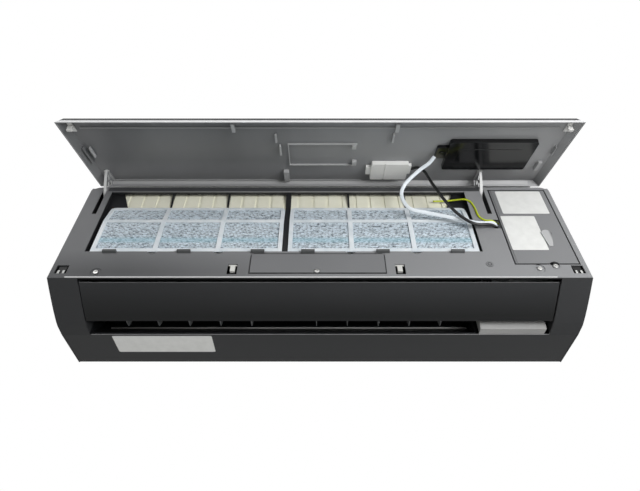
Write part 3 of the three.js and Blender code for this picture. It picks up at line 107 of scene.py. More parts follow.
# %% Grids into meshes
def mesh_from_grid(name, grid, ring=False, capped=False, smooth=True):
    """One quad for each cell of the grid.

    With ring, the last column joins the first. Capped closes both ends of such a tube.
    """
    rows, columns = grid.shape[:2]
    index = np.arange(rows * columns).reshape(rows, columns)
    wide = np.concatenate([index, index[:, :1]], 1) if ring else index
    quads = np.stack([wide[:-1, :-1], wide[:-1, 1:], wide[1:, 1:], wide[1:, :-1]], -1)
    faces = quads.reshape(-1, 4).tolist()
    if capped:
        faces += [index[0, ::-1].tolist(), index[-1].tolist()]
    mesh = bpy.data.meshes.new(name)
    mesh.from_pydata(grid.reshape(-1, 3).tolist(), [], faces)
    mesh.polygons.foreach_set("use_smooth", np.full(len(faces), smooth))
    mesh.update()
    piece = bpy.data.objects.new(name, mesh)
    bpy.context.scene.collection.objects.link(piece)
    return piece


def full_turn(steps):
    """Equal angles once round, without the last one, which is the first again."""
    return np.arange(steps) * 2 * math.pi / steps


def length_and_turn(piece, rows, columns, metres):
    """A UV map of a tube: u is the distance along it in metres, v the share of the way round."""
    u = np.repeat(np.linspace(0, metres, rows), columns)
    v = np.tile(np.arange(columns) / columns, rows)
    corner = np.empty(len(piece.data.loops), np.int32)
    piece.data.loops.foreach_get("vertex_index", corner)
    layer = piece.data.uv_layers.new(name="along")
    layer.data.foreach_set("uv", np.stack([u[corner], v[corner]], -1).astype(np.float32).ravel())


# %% [markdown]
# ## The three leads
# Each lead is a real length of flexible core. Two hang between the raised panel and
# the port beside the electrical cover, and the earth wire comes to that port from the
# end of the coil. A simulated cord could hang by itself, but its rest is known here, so
# its route is a smooth curve through a few points, given from the left edge of the
# cover. The curve is the centripetal one, because it never loops between points that
# lie close together.


# %% Routes and tubes
def smooth_route(points, per_span):
    """Centripetal curve: a cubic in each span, timed by the square root of its length."""
    p = np.asarray(points, float)
    p = np.concatenate([[2 * p[0] - p[1]], p, [2 * p[-1] - p[-2]]])
    a, b, c, d = p[:-3], p[1:-2], p[2:-1], p[3:]
    before, here, after = (
        np.sqrt(np.linalg.norm(q - r, axis=1))[:, None] for q, r in ((b, a), (c, b), (d, c))
    )
    leave = ((b - a) / before - (c - a) / (before + here) + (c - b) / here) * here
    reach = ((c - b) / here - (d - b) / (here + after) + (d - c) / after) * here
    t = (np.arange(per_span) / per_span)[None, :, None]
    b, c, leave, reach = (q[:, None, :] for q in (b, c, leave, reach))
    span = b + leave * t + (3 * (c - b) - 2 * leave - reach) * t**2
    span = span + (2 * (b - c) + leave + reach) * t**3
    return np.concatenate([span.reshape(-1, 3), p[-2:-1]])


def route_length(path):
    """Sum of the steps between neighbouring points."""
    return float(np.linalg.norm(np.diff(path, axis=0), axis=1).sum())


FLAT_SIDE = np.array([0.0, 0.71, 0.704])  # the leads' flat sides face along this line
SECTION_POWER = 0.8  # 1 is an ellipse, and less is a squarer section
SECTION_POINTS = 20
POINTS_PER_SPAN = 8


def signed_power(values, power):
    """The power of the size, with the sign kept."""
    return np.sign(values) * np.abs(values) ** power


def lead_tube(name, path, across, deep):
    """A superellipse along the path: centre + cos(a) across side + sin(a) deep up."""
    ahead = np.gradient(path, axis=0)
    ahead /= np.linalg.norm(ahead, axis=1)[:, None]
    side = np.cross(ahead, FLAT_SIDE)
    side /= np.linalg.norm(side, axis=1)[:, None]
    up = np.cross(side, ahead)
    turn = full_turn(SECTION_POINTS)
    wide = signed_power(np.cos(turn), SECTION_POWER) * across / 2
    high = signed_power(np.sin(turn), SECTION_POWER) * deep / 2
    grid = path[:, None] + wide[None, :, None] * side[:, None] + high[None, :, None] * up[:, None]
    tube = mesh_from_grid(name, grid, ring=True, capped=True)
    length_and_turn(tube, len(path), SECTION_POINTS, route_length(path))
    return tube


# %% Lay the leads
COVER_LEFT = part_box("electrical_cover")[0][0] * 1000
DISPLAY_ROUTE = [
    (-138.4, -88, 333), (-149, -74, 328), (-170, -60, 320), (-205, -38, 293), (-213, -28, 270),
    (-199, -20, 234), (-156, -16, 222), (-103, -14, 208), (-52, -12, 194), (-19, -6, 200),
    (-6, 8, 205), (-1, 14, 206), (5.4, 14, 206),
]
MODULE_ROUTE = [
    (-182.5, -39, 353), (-169, -45, 350), (-157, -48, 333), (-143, -40, 302), (-120, -30, 250),
    (-94, -24, 206), (-65, -18, 186), (-27, -11, 190), (-12, 1, 195), (-6, 9, 196.5),
    (-1, 13, 196.5), (5.4, 13, 196.5),
]
EARTH_ROUTE = [
    (-133, 9, 292), (-101, 8, 292), (-77, 3, 290), (-64, -2, 286), (-52, -2, 279),
    (-46, -2, 260), (-42, -2, 226), (-31, -2, 214), (-18, -2.4, 212.5), (-10, 3, 213.5),
    (-4, 8, 214.5), (5.4, 9, 214.5),
]


def lay_lead(name, route, across, deep):
    path = smooth_route(place(np.add(route, (COVER_LEFT, 0, 0))), POINTS_PER_SPAN)
    tube = lead_tube(name, path, across, deep)
    print(name, "is", round(route_length(path) * 1000), "mm long")
    return tube, path


display_lead, display_path = lay_lead("display_lead", DISPLAY_ROUTE, 0.0084, 0.0034)
module_lead, module_path = lay_lead("module_lead", MODULE_ROUTE, 0.0066, 0.0056)
earth_lead, earth_path = lay_lead("earth_lead", EARTH_ROUTE, 0.0038, 0.0038)

# %% [markdown]
# The display lead and the module lead are held by the panel at one end and by the
# chassis at the other. Here each keeps the shape it is laid in. The earth wire stays with
# the chassis. The solid leads that the new ones replace are hidden.

# %% Leads in place of the solid ones
for tube, path, node in (
    (display_lead, display_path, "display_cable"),
    (module_lead, module_path, "module_cable"),
):
    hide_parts(node)
    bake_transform(tube)
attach(earth_lead, "chassis")
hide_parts("earth_wire")

# %% [markdown]
# ## Materials
# A colour is written as the hex value that a picture editor shows, and one function
# turns it into the linear values that light is added up in. One helper adds a node:
# a value that is a socket is linked, and any other value is set on the input. The
# others are shorthand for it.


# %% Colour and node helpers
def linear(code):
    """sRGB hex to linear: s becomes ((s + 0.055) / 1.055) ** 2.4, or s / 12.92 near black."""
    s = np.array([int(code[i : i + 2], 16) for i in (1, 3, 5)]) / 255
    return (*np.where(s <= 0.04045, s / 12.92, ((s + 0.055) / 1.055) ** 2.4).tolist(), 1.0)


def add_node(tree, kind, inputs=None, **settings):
    """Adds a node, sets its properties, and sets or links its inputs by name or number."""
    made = tree.nodes.new(kind)
    for name, value in settings.items():
        setattr(made, name, value)
    for key, value in (inputs or {}).items():
        if isinstance(value, bpy.types.NodeSocket):
            tree.links.new(value, made.inputs[key])
        else:
            made.inputs[key].default_value = value
    return made


def calculate(tree, operation, *values):
    """One step of arithmetic on numbers or sockets."""
    numbered = dict(enumerate(values))
    return add_node(tree, "ShaderNodeMath", numbered, operation=operation).outputs[0]


def ramp(tree, value, start=0.0, end=1.0, low=0.0, high=1.0):
    """Goes evenly from low to high while the value goes from start to end, and stays there."""
    limits = {"From Min": start, "From Max": end, "To Min": low, "To Max": high}
    return add_node(tree, "ShaderNodeMapRange", {"Value": value, **limits}).outputs[0]


def scaled(tree, where, scale):
    """Coordinates multiplied along each axis, so that a pattern is squeezed by that much."""
    return add_node(tree, "ShaderNodeMapping", {"Vector": where, "Scale": scale}).outputs[0]


def noise(tree, where, scale, detail=2.0, roughness=0.5):
    """Soft random cloud with the given number of cells in a metre."""
    inputs = {"Vector": where, "Scale": scale, "Detail": detail, "Roughness": roughness}
    return add_node(tree, "ShaderNodeTexNoise", inputs).outputs[0]


def tint(tree, share, dark, light):
    """Mixes two hex colours by a share from 0 to 1."""
    mix = add_node(tree, "ShaderNodeMix", {"Factor": share}, data_type="RGBA")
    mix.inputs[6].default_value = linear(dark)
    mix.inputs[7].default_value = linear(light)
    return mix.outputs[2]


Look = collections.namedtuple("Look", "material tree shader where")


def new_look(name):
    """A material with an empty tree, its shader, and the Object coordinates in metres."""
    material = bpy.data.materials.new(name)
    material.use_nodes = True
    tree = material.node_tree
    tree.nodes.clear()
    shader = add_node(tree, "ShaderNodeBsdfPrincipled")
    add_node(tree, "ShaderNodeOutputMaterial", {"Surface": shader.outputs["BSDF"]})
    where = add_node(tree, "ShaderNodeTexCoord").outputs["Object"]
    return Look(material, tree, shader, where)


# %% [markdown]
# Most of the unit is ABS, injection moulded. Spark erosion leaves the mould, and so the
# part, with a fine even grain of about 0.2 mm, and the melt's flow leaves broad soft
# clouds. The grain is drawn at 0.6 mm so that it still shows a little in a close view.
# Gloss comes from a typical roughness near 0.5, and the index of refraction is 1.53.
# No moulded edge is truly sharp, so the normal turns round each edge and catches light.

# %% Moulded ABS
EDGE_RADIUS = 0.0005  # every moulded edge is rounded by about half a millimetre
GRAIN_SIZE = 0.0006
GRAIN_HEIGHT = 0.0002
GLOSS_SPREAD = 0.05  # the roughness goes this far either way


def moulded_abs(name, dark, light, roughness=0.5, specular=0.4, clouds=(4, 4, 4), bump=0.12):
    """Clouds of melt flow tint the colour, and a fine grain moves the normal."""
    look = new_look(name)
    tree, shader = look.tree, look.shader
    cloud = noise(tree, scaled(tree, look.where, clouds), 1.0, 3.0)
    even = ramp(tree, cloud, 0.35, 0.65)
    gloss = ramp(tree, cloud, low=roughness + GLOSS_SPREAD, high=roughness - GLOSS_SPREAD)
    edge = add_node(tree, "ShaderNodeBevel", {"Radius": EDGE_RADIUS}, samples=4)
    relief = add_node(tree, "ShaderNodeBump", {
        "Height": noise(tree, look.where, 1 / GRAIN_SIZE), "Strength": bump,
        "Distance": GRAIN_HEIGHT, "Normal": edge.outputs[0],
    })
    tree.links.new(tint(tree, even, dark, light), shader.inputs["Base Color"])
    tree.links.new(gloss, shader.inputs["Roughness"])
    tree.links.new(relief.outputs[0], shader.inputs["Normal"])
    shader.inputs["IOR"].default_value = 1.53
    shader.inputs["Specular IOR Level"].default_value = specular
    return look


# The vanes and link bars are a dark moulding, given a mid grey all over as a painted highlight, in
# place of the light that their front edges catch.
vane_abs = moulded_abs("vane_ABS_painted_highlight", "#8a8c8e", "#999b9d", roughness=0.45)
black_abs = moulded_abs("black_ABS", "#141517", "#1c1d1f", roughness=0.42, specular=0.35)
gloss_black = moulded_abs("gloss_black_ABS", "#08090a", "#0d0e10", roughness=0.16, bump=0.03)
# The sensor module and the latches are a light grey, painted paler, near white, as painted light
# in place of the shade they stand in. The outlet block is the same grey plastic in a darker copy,
# as painted shade.
grey_painted_pale = moulded_abs("grey_ABS", "#e0e0de", "#eaeae8", roughness=0.55)
grey_painted_dark = moulded_abs("grey_ABS_block", "#9b9b9a", "#a8a8a7")
white_pbt = moulded_abs("white_PBT", "#cfcfcb", "#deded9", roughness=0.45)

# %% [markdown]
# Some mouldings change their tone over a part of their surface. That could be done with
# a painted image, but an image has to be made and unwrapped for each piece. A soft
# window needs neither: it is 1 between two limits along a direction, and fades out over
# a short way. Several windows multiplied together mark a box, and a colour is laid over
# what lies in it.

# %% Windows of another tone
X, Y, Z = (1, 0, 0), (0, 1, 0), (0, 0, 1)
FAR = 9.0  # beyond everything
FADE = 0.0004
CRISP = 0.0001


def window(look, direction, low, high, fade=FADE):
    """1 where the dot product of the place with direction is between low and high, in metres."""
    along = add_node(
        look.tree, "ShaderNodeVectorMath", {0: look.where, 1: direction}, operation="DOT_PRODUCT"
    ).outputs["Value"]
    rise = ramp(look.tree, along, low - fade, low + fade)
    fall = ramp(look.tree, along, high + fade, high - fade)
    return calculate(look.tree, "MULTIPLY", rise, fall)


def inside(look, *limits):
    """1 where the place is inside every one of the limits, each written as for a window."""
    total = window(look, *limits[0])
    for limit in limits[1:]:
        total = calculate(look.tree, "MULTIPLY", total, window(look, *limit))
    return total


def repaint(look, mask, colour):
    """Lays a hex colour over the present colour where the mask is 1."""
    below = look.shader.inputs["Base Color"].links[0].from_socket
    over = add_node(look.tree, "ShaderNodeMix", {"Factor": mask, 6: below}, data_type="RGBA")
    over.inputs[7].default_value = linear(colour)
    look.tree.links.new(over.outputs[2], look.shader.inputs["Base Color"])


def paint(look, colour, *limits):
    """Lays a hex colour over all that is inside the limits."""
    repaint(look, inside(look, *limits), colour)


# %% [markdown]
# The flap is a darker, glossier moulding, deeper in tone towards its lower edge, and its
# upper front edge carries a painted highlight. The outlet duct is moulded in the same
# plastic.

# %% Outlet flap
FLAP_LOWER_PART = (Z, -FAR, unit_z(26), 0.014)
FLAP_EDGE_HIGHLIGHT = (Z, unit_z(43.2), FAR, 0.0006), (Y, -FAR, unit_y(10.4))
flap_abs = moulded_abs(
    "dark_ABS_flap", "#2b2c2e", "#333436", roughness=0.38, specular=0.3, clouds=(1.5, 9, 9)
)
paint(flap_abs, "#191a1b", FLAP_LOWER_PART)
# A painted highlight along the flap's upper front edge.
paint(flap_abs, "#a9aaac", *FLAP_EDGE_HIGHLIGHT)

# %% [markdown]
# The front frame is one moulding. Its face below the panel is a mid grey with painted
# light and shade on it, darkest at the low left and paler to the right, as the light falls.
# What lies behind that face is painted a deep charcoal as shade, darkest between the
# cheeks. The lower body is a deep charcoal too, partly its own tone and partly painted
# shade, and the rail over the coil is a deep charcoal as well. The tabs that hold the
# filters are darker too. The lip along the face's lower edge and the rear edge of the
# outlet carry painted highlights, and the grooves round the electrical cover are painted
# dark as shade.

# %% Front frame
BROAD = 0.45  # half the way over which a tone spreads across the unit
FACE_BACK_Y = unit_y(2.1)  # just in front of the back of the face
FACE_LOW_Z, FACE_TOP_Z = unit_z(47.6), unit_z(331)
CHEEK_X = 0.5384  # inner sides of the two cheeks
LIGHT_TOWARDS_RIGHT = [(X, -0.1, FAR, BROAD)]
SHADE_LOW_LEFT = (X, -FAR, -0.20, 0.20), (Z, -FAR, unit_z(95), 0.03)
TABS = (Y, -FAR, unit_y(-0.9)), (Z, unit_z(112), unit_z(123))
SHADE_BEHIND_FACE = [(Y, FACE_BACK_Y, FAR)]
BETWEEN_CHEEKS = (Z, FACE_LOW_Z, FACE_TOP_Z), (X, -CHEEK_X, CHEEK_X)
LOWER_BODY_TONE_AND_SHADE = [(Z, -FAR, FACE_LOW_Z)]
RAIL = (Z, unit_z(318), FAR), (X, -0.5, 0.385)
LIP_HIGHLIGHT = (Y, -FAR, unit_y(-0.4), CRISP), (Z, unit_z(46.4), unit_z(50.6))
OUTLET_REAR_HIGHLIGHT = (Y, unit_y(122), unit_y(127)), (Z, -FAR, unit_z(4)), (X, -0.48, 0.48)
GROOVE_SHADE = (Y, unit_y(0.5), FAR, CRISP), (X, 0.383, 0.533), (Z, unit_z(82), FAR)

frame_abs = moulded_abs("charcoal_ABS_frame", "#626365", "#6c6d6f")
for region, colour in (
    # painted light: paler towards the right
    (LIGHT_TOWARDS_RIGHT, "#8b8c8e"),
    # painted shade at the low left
    (SHADE_LOW_LEFT, "#47484a"),
    (TABS, "#4a4c4d"),
    # painted shade on all that lies behind the face, deepest between the cheeks
    (SHADE_BEHIND_FACE, "#2d2e30"),
    ((*SHADE_BEHIND_FACE, *BETWEEN_CHEEKS), "#1a1b1d"),
    # the lower body's own darker tone, with painted shade in it
    (LOWER_BODY_TONE_AND_SHADE, "#2d2e30"),
    (RAIL, "#3d3e40"),
    # painted highlights on the lip and on the outlet's rear edge
    (LIP_HIGHLIGHT, "#d2d3d4"),
    (OUTLET_REAR_HIGHLIGHT, "#b3b4b5"),
    # painted shade in the grooves round the electrical cover
    (GROOVE_SHADE, "#141516"),
):
    paint(frame_abs, colour, *region)

# %% [markdown]
# The electrical cover and the centre plate are flush lids of the same plastic, painted
# paler to the right as the light falls. A dark border of painted shade runs round each,
# along the gap at the lid's edge. The front of the cover's raised bump carries a painted
# highlight, and its right end painted shade.

# %% Lids with a seam
def lid(name, node, seam):
    """Charcoal, painted paler to the right, with a border of painted shade: 1 minus the window
    inside the node's box.
    """
    look = moulded_abs(name, "#646567", "#6e6f71")
    # painted light: paler to the right
    paint(look, "#7f8082", (X, 0.0, FAR, BROAD))
    low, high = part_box(node)
    inner = inside(look, *(
        (axis, low[i] + seam, high[i] - seam, CRISP) for axis, i in ((X, 0), (Z, 2))
    ))
    # painted shade along the lid's edge
    repaint(look, calculate(look.tree, "SUBTRACT", 1.0, inner), "#161718")
    return look


BUMP_FRONT = (Y, -FAR, unit_y(-0.8), 0.0007)
BUMP_RIGHT = (X, 0.4955, FAR, 0.003)
plate_abs = lid("charcoal_ABS_plate", "centre_cover", 0.0018)
cover_abs = lid("charcoal_ABS_lid", "electrical_cover", 0.0020)
# painted highlight on the front of the bump
paint(cover_abs, "#b4b5b6", BUMP_FRONT)
# painted shade at the bump's right end
paint(cover_abs, "#545557", BUMP_FRONT, BUMP_RIGHT)

# %% [markdown]
# The push button is a disc with a fine dark ring in it and a dark edge. The distance from
# its middle, with y left out, is a length, and the window function takes that as an x
# coordinate.

# %% Button
BUTTON_RING = (0.0030, 0.0042)  # distances from the middle
BUTTON_EDGE = (0.0080, FAR)
button_abs = moulded_abs("charcoal_ABS_button", "#77787a", "#818284")
low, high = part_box("manual_button")
middle_x, middle_z = ((low[i] + high[i]) / 2 for i in (0, 2))
offset = add_node(
    button_abs.tree, "ShaderNodeVectorMath",
    {0: button_abs.where, 1: (1, 0, 1), 2: (-middle_x, 0, -middle_z)}, operation="MULTIPLY_ADD",
).outputs[0]
distance = add_node(
    button_abs.tree, "ShaderNodeVectorMath", {0: offset}, operation="LENGTH"
).outputs["Value"]
radial = add_node(button_abs.tree, "ShaderNodeCombineXYZ", {"X": distance}).outputs[0]
for ring in (BUTTON_RING, BUTTON_EDGE):
    paint(button_abs._replace(where=radial), "#1c1d1e", (X, *ring))

# %% [markdown]
# The front panel was drawn closed, with its places measured from the hinge line, and it
# stands 70.8 degrees open. The directions of its own axes are therefore turned by that
# angle, and a distance from the hinge line is measured along them.

# %% The panel's own directions
HINGE = place([0, 64.6, 311.7])
PANEL_OPEN = math.radians(70.8)
PANEL_Y = (0.0, math.cos(PANEL_OPEN), -math.sin(PANEL_OPEN))  # out of the panel's tray
PANEL_Z = (0.0, math.sin(PANEL_OPEN), math.cos(PANEL_OPEN))  # from the free edge to the hinge


def panel_y(depth):
    """A distance from the hinge line along PANEL_Y, in millimetres, as the windows take it."""
    return np.dot(HINGE, PANEL_Y) + depth / 1000


def panel_z(height):
    """A distance from the hinge line along PANEL_Z, in millimetres, as the windows take it."""
    return np.dot(HINGE, PANEL_Z) + height / 1000


print("hinge line at y, z =", HINGE[1], HINGE[2])

# %% [markdown]
# The panel's inner side has the same charcoal as the frame, with painted light on it: paler
# to the right as the light falls, and paler near the hinge where it lies in shade. Its rim
# was the parting line of the mould and is paler, and the strip past the hinge-side flange
# is painted pale, as painted light in place of its shade. The free edge has a dark outer
# skin with a bright trim inside it, and the rails and clips that stand up from the skin
# are paler. The outside is a plain dark charcoal, and the two sides lean outwards from it.

# %% Front panel
LIGHT_RIGHT_PART = (X, 0.15, FAR, 0.35)
LIGHT_NEAR_HINGE = (PANEL_Z, panel_z(-60), FAR, 0.050)
RIM = (PANEL_Y, panel_y(-66.9), FAR, CRISP)
LIGHT_PAST_FLANGE = (PANEL_Z, panel_z(-17.6), FAR, CRISP), (PANEL_Y, panel_y(-80.6), FAR, CRISP)
OUTSIDE = (PANEL_Y, -FAR, panel_y(-80.9), 0.0002)
FIXINGS = (
    (PANEL_Y, panel_y(-78.1), panel_y(-67.2), CRISP),  # rails and clips stand up that far
    (PANEL_Z, panel_z(-252), panel_z(-22)),
    (X, -0.512, 0.512),
)
SIDE_REACH, SIDE_DEPTH = 13, 15  # a side goes out by 13 mm over a depth of 15 mm
SIDE_SLOPE = math.hypot(SIDE_REACH, SIDE_DEPTH)
SIDE_START = 0.4516  # how far out the side lies along its own normal
EDGE_NORMAL = tuple(np.dot([-6, -15], [PANEL_Y, PANEL_Z]) / math.hypot(6, 15))
EDGE_SKIN = np.dot(HINGE, EDGE_NORMAL) + 0.2652  # the free edge lies beyond this
SKIN_EDGE_Y = panel_y(-85.0), panel_y(-75.2)
TRIM_EDGE_Y = panel_y(-74.5), panel_y(-66.9)

panel_abs = moulded_abs(
    "charcoal_ABS_panel", "#68696b", "#747577", roughness=0.36, clouds=(7, 1.2, 1.2)
)
# painted light: paler to the right
paint(panel_abs, "#a2a3a5", LIGHT_RIGHT_PART)
# painted light near the hinge, in place of the shade there
paint(panel_abs, "#8f9092", LIGHT_NEAR_HINGE)
paint(panel_abs, "#9fa0a2", RIM)
# painted light on the strip past the flange, in place of its shade
paint(panel_abs, "#d6d7d8", *LIGHT_PAST_FLANGE)
paint(panel_abs, "#303133", OUTSIDE)
for side in (1, -1):
    normal = tuple(np.dot([SIDE_DEPTH * side, -SIDE_REACH], [X, PANEL_Y]) / SIDE_SLOPE)
    start = SIDE_START - SIDE_REACH / SIDE_SLOPE * panel_y(0)
    paint(panel_abs, "#3a3b3d", (normal, start, FAR, 0.0002))
for depths, tone in ((SKIN_EDGE_Y, "#232426"), (TRIM_EDGE_Y, "#e6e7e8")):
    paint(panel_abs, tone, (EDGE_NORMAL, EDGE_SKIN, FAR, CRISP), (PANEL_Y, *depths))
paint(panel_abs, "#aaabac", *FIXINGS)

# %% [markdown]
# A hinge arm is acetal, a slippery pale plastic. Its web stays in the shade of the rib, so
# the faces that look sideways are painted darker than the rib's front, as painted shade.

# %% Hinge arms
SIDEWAYS = 0.8  # 1 is a face that looks straight along the x axis
arm_pom = moulded_abs("POM_hinge_arm", "#c2c3c3", "#d4d5d5", roughness=0.4)
facing = add_node(arm_pom.tree, "ShaderNodeNewGeometry").outputs["True Normal"]
sideways = add_node(
    arm_pom.tree, "ShaderNodeVectorMath", {0: facing, 1: X}, operation="DOT_PRODUCT"
).outputs["Value"]
sideways = calculate(arm_pom.tree, "ABSOLUTE", sideways)
# painted shade on the faces that look sideways
repaint(arm_pom, calculate(arm_pom.tree, "GREATER_THAN", sideways, SIDEWAYS), "#858688")

# %% [markdown]
# The catches in the two end sockets are black, and the front faces of their two small
# bars are pale.

# %% Catches
BAR_FRONT_Y = unit_y(1.4)
catch_abs = moulded_abs("black_ABS_catch", "#0c0d0e", "#131415")
paint(catch_abs, "#c9cac8", (Y, -FAR, BAR_FRONT_Y, CRISP))

# %% [markdown]
# The filter's frame is polypropylene, moulded thin and slightly clear, so it looks like
# ice.

# %% Filter frame
filter_pp = moulded_abs(
    "clear_PP_filter_frame", "#dde6ec", "#f1f6fa", roughness=0.3, specular=0.5, clouds=(30, 30, 30)
)
filter_pp.shader.inputs["Transmission Weight"].default_value = 0.12

# %% [markdown]
# The net is woven nylon with about 1.6 mm between threads. As real threads it would be
# tens of thousands of crossings, so it is a pattern on a thin sheet, drawn at 3 mm,
# which is as fine as the picture can show. Dust gathers in it in blots and in faint
# level bands, and in one band the coil behind it shows through in blue.

# %% Filter net
WAVES = 3.2  # a wave texture repeats about this often in one unit of its scale
THREADS = 0.0030
THREAD_SHARE = 0.22  # how much of the pattern comes from the threads
BLOT_SIZE = 0.0080
DUSTY, CLEAN = 0.57, 0.67  # values of the pattern that are fully dusty and fully clean
DAMP_BAND = (Z, unit_z(150), unit_z(164), 0.004)
DAMP_SHARE = 0.45
net = new_look("woven_nylon_net")
tree, shader, where = net.tree, net.shader, net.where


def stripes(tree, where, spacing, way):
    """Soft parallel lines, so many metres apart along the X or the Z axis."""
    inputs = {"Vector": where, "Scale": 1 / spacing / WAVES}
    return add_node(tree, "ShaderNodeTexWave", inputs, bands_direction=way).outputs["Fac"]


weave = calculate(
    tree, "MAXIMUM", stripes(tree, where, THREADS, "X"), stripes(tree, where, THREADS, "Z")
)
blots = noise(tree, scaled(tree, where, (1, 1, 2.2)), 1 / BLOT_SIZE, 4.0, 0.75)
mottle = calculate(tree, "MULTIPLY_ADD", weave, THREAD_SHARE, blots)
level_bands = noise(tree, scaled(tree, where, (4, 4, 70)), 1.0)
pale = tint(tree, level_bands, "#bccdda", "#e9f2f8")
knit = add_node(
    tree, "ShaderNodeMix", {"Factor": ramp(tree, mottle, DUSTY, CLEAN), 7: pale}, data_type="RGBA"
)
knit.inputs[6].default_value = linear("#3c4854")
tree.links.new(knit.outputs[2], shader.inputs["Base Color"])
seen_through = calculate(tree, "MULTIPLY", window(net, *DAMP_BAND), DAMP_SHARE)
repaint(net, seen_through, "#8fc0d0")
relief = add_node(tree, "ShaderNodeBump", {"Height": mottle, "Strength": 0.5, "Distance": 0.0006})
tree.links.new(relief.outputs[0], shader.inputs["Normal"])
shader.inputs["Roughness"].default_value = 0.6

# %% [markdown]
# The fins are aluminium foil with a gold-tinted water-shedding coat, pressed on the
# tubes 1.5 mm apart. Seen from a step away they melt into a pale cream sheet with fine
# upright lines, which are drawn 3 mm apart so that they still show.

# %% Coated fins
FIN_LINES = 0.0030
LINE_SHARE = 0.15  # how much of the tone comes from the lines, and the rest from patches
PATCHES = 22.0  # in a metre
fins = new_look("coated_aluminium_fins")
tree, shader, where = fins.tree, fins.shader, fins.where
lines = stripes(tree, where, FIN_LINES, "X")
ribbed = calculate(tree, "MULTIPLY_ADD", lines, LINE_SHARE, noise(tree, where, PATCHES, 4.0))
foil = tint(tree, ribbed, "#e6e5d0", "#f7f6e6")
relief = add_node(tree, "ShaderNodeBump", {"Height": lines, "Strength": 0.3, "Distance": 0.0005})
tree.links.new(foil, shader.inputs["Base Color"])
tree.links.new(relief.outputs[0], shader.inputs["Normal"])
shader.inputs["Metallic"].default_value = 0.1
shader.inputs["Roughness"].default_value = 0.5

# %% [markdown]
# Three metals are left: the zinc of the pressed sheets, whose crystals show as soft
# flakes of about 6 mm, the bright zinc plate of the screws, and bare drawn copper.


# %% Metals
def bare_metal(name, dark, light, flake, roughness):
    """Cells of one crystal size shift the tint and the gloss of a full metal."""
    look = new_look(name)
    tree, shader = look.tree, look.shader
    cells = add_node(tree, "ShaderNodeTexVoronoi", {"Vector": look.where, "Scale": 1 / flake})
    tone = add_node(
        tree, "ShaderNodeSeparateColor", {"Color": cells.outputs["Color"]}
    ).outputs[0]
    tree.links.new(tint(tree, tone, dark, light), shader.inputs["Base Color"])
    gloss = ramp(tree, tone, low=roughness, high=roughness + 0.15)
    tree.links.new(gloss, shader.inputs["Roughness"])
    shader.inputs["Metallic"].default_value = 1.0
    return look


galvanised = bare_metal("galvanised_sheet", "#a6aaad", "#b2b6b9", 0.006, 0.34)
screw_zinc = bare_metal("zinc_plated_screw", "#c4c4c2", "#dadad8", 0.002, 0.25)
copper = bare_metal("drawn_copper", "#b56f4d", "#c98360", 0.004, 0.3)

# %% [markdown]
# The leads wear soft PVC. The earth wire has the usual green stripe on yellow, and its
# stripe follows the turn round the wire, which the UV map carries.

# %% PVC sleeves
STRIPE_START = 0.62  # the stripe takes the rest of the way round


def pvc_sleeve(name, colour, stripe=None):
    """An uneven soft sheen, and a stripe over a little more than a third of the turn."""
    look = new_look(name)
    tree, shader = look.tree, look.shader
    along = add_node(tree, "ShaderNodeUVMap", uv_map="along").outputs[0]
    turn = add_node(tree, "ShaderNodeSeparateXYZ", {"Vector": along}).outputs["Y"]
    edge = calculate(tree, "GREATER_THAN", turn, STRIPE_START)
    tree.links.new(tint(tree, edge, colour, stripe or colour), shader.inputs["Base Color"])
    sheen = ramp(tree, noise(tree, look.where, 300.0), low=0.35, high=0.5)
    tree.links.new(sheen, shader.inputs["Roughness"])
    return look


white_pvc = pvc_sleeve("white_PVC_sleeve", "#dfe6ec")
black_pvc = pvc_sleeve("black_PVC_sleeve", "#0e0f11")
earth_pvc = pvc_sleeve("earth_PVC_sleeve", "#dfe31c", "#b9c81f")
for lead, sleeve in ((display_lead, white_pvc), (module_lead, black_pvc), (earth_lead, earth_pvc)):
    lead.data.materials.append(sleeve.material)

# %% [markdown]
# Paper, the green mask of a circuit board and rubber differ from moulded plastic mostly
# in tone and gloss, so the same function makes them, with finer clouds for the first two.

# %% Paper, board and rubber
paper = moulded_abs(
    "coated_paper", "#e0e1df", "#e6e7e5", specular=0.3, clouds=(60, 60, 60), bump=0.02
)
board = moulded_abs(
    "solder_mask_board", "#215a39", "#2b6b45", roughness=0.3, clouds=(90, 90, 90)
)
rubber = moulded_abs("black_rubber", "#111112", "#191a1b", roughness=0.75, specular=0.25)

# %% [markdown]
# The solids are flat triangles. A small node group welds them and shades each face
# smooth across every edge that turns by less than 32 degrees, so that curves look
# round and real edges stay crisp. The rounding that the plastics' materials give to the
# normal then catches light on those edges.

# %% Soft shading for the solids
SHARP = math.radians(32)
TOUCHING = 1e-6  # points closer than this are one point
shading = bpy.data.node_groups.new("weld_and_smooth", "GeometryNodeTree")
for way in ("INPUT", "OUTPUT"):
    shading.interface.new_socket("Geometry", in_out=way, socket_type="NodeSocketGeometry")
entry = add_node(shading, "NodeGroupInput")
welded = add_node(
    shading, "GeometryNodeMergeByDistance", {"Geometry": entry.outputs[0], "Distance": TOUCHING}
)
rounded = add_node(shading, "GeometryNodeSetShadeSmooth", {"Geometry": welded.outputs[0]})
angle = add_node(shading, "GeometryNodeInputMeshEdgeAngle").outputs[0]
sharp = add_node(
    shading, "FunctionNodeCompare", {0: angle, 1: SHARP},
    data_type="FLOAT", operation="GREATER_THAN",
)
creased = add_node(
    shading, "GeometryNodeSetShadeSmooth",
    {"Geometry": rounded.outputs[0], "Selection": sharp.outputs[0], "Shade Smooth": False},
    domain="EDGE",
)
add_node(shading, "NodeGroupOutput", {0: creased.outputs[0]})

# %% [markdown]
# Each solid then gets its material and that shading. The list says what every piece of
# the unit is made of.

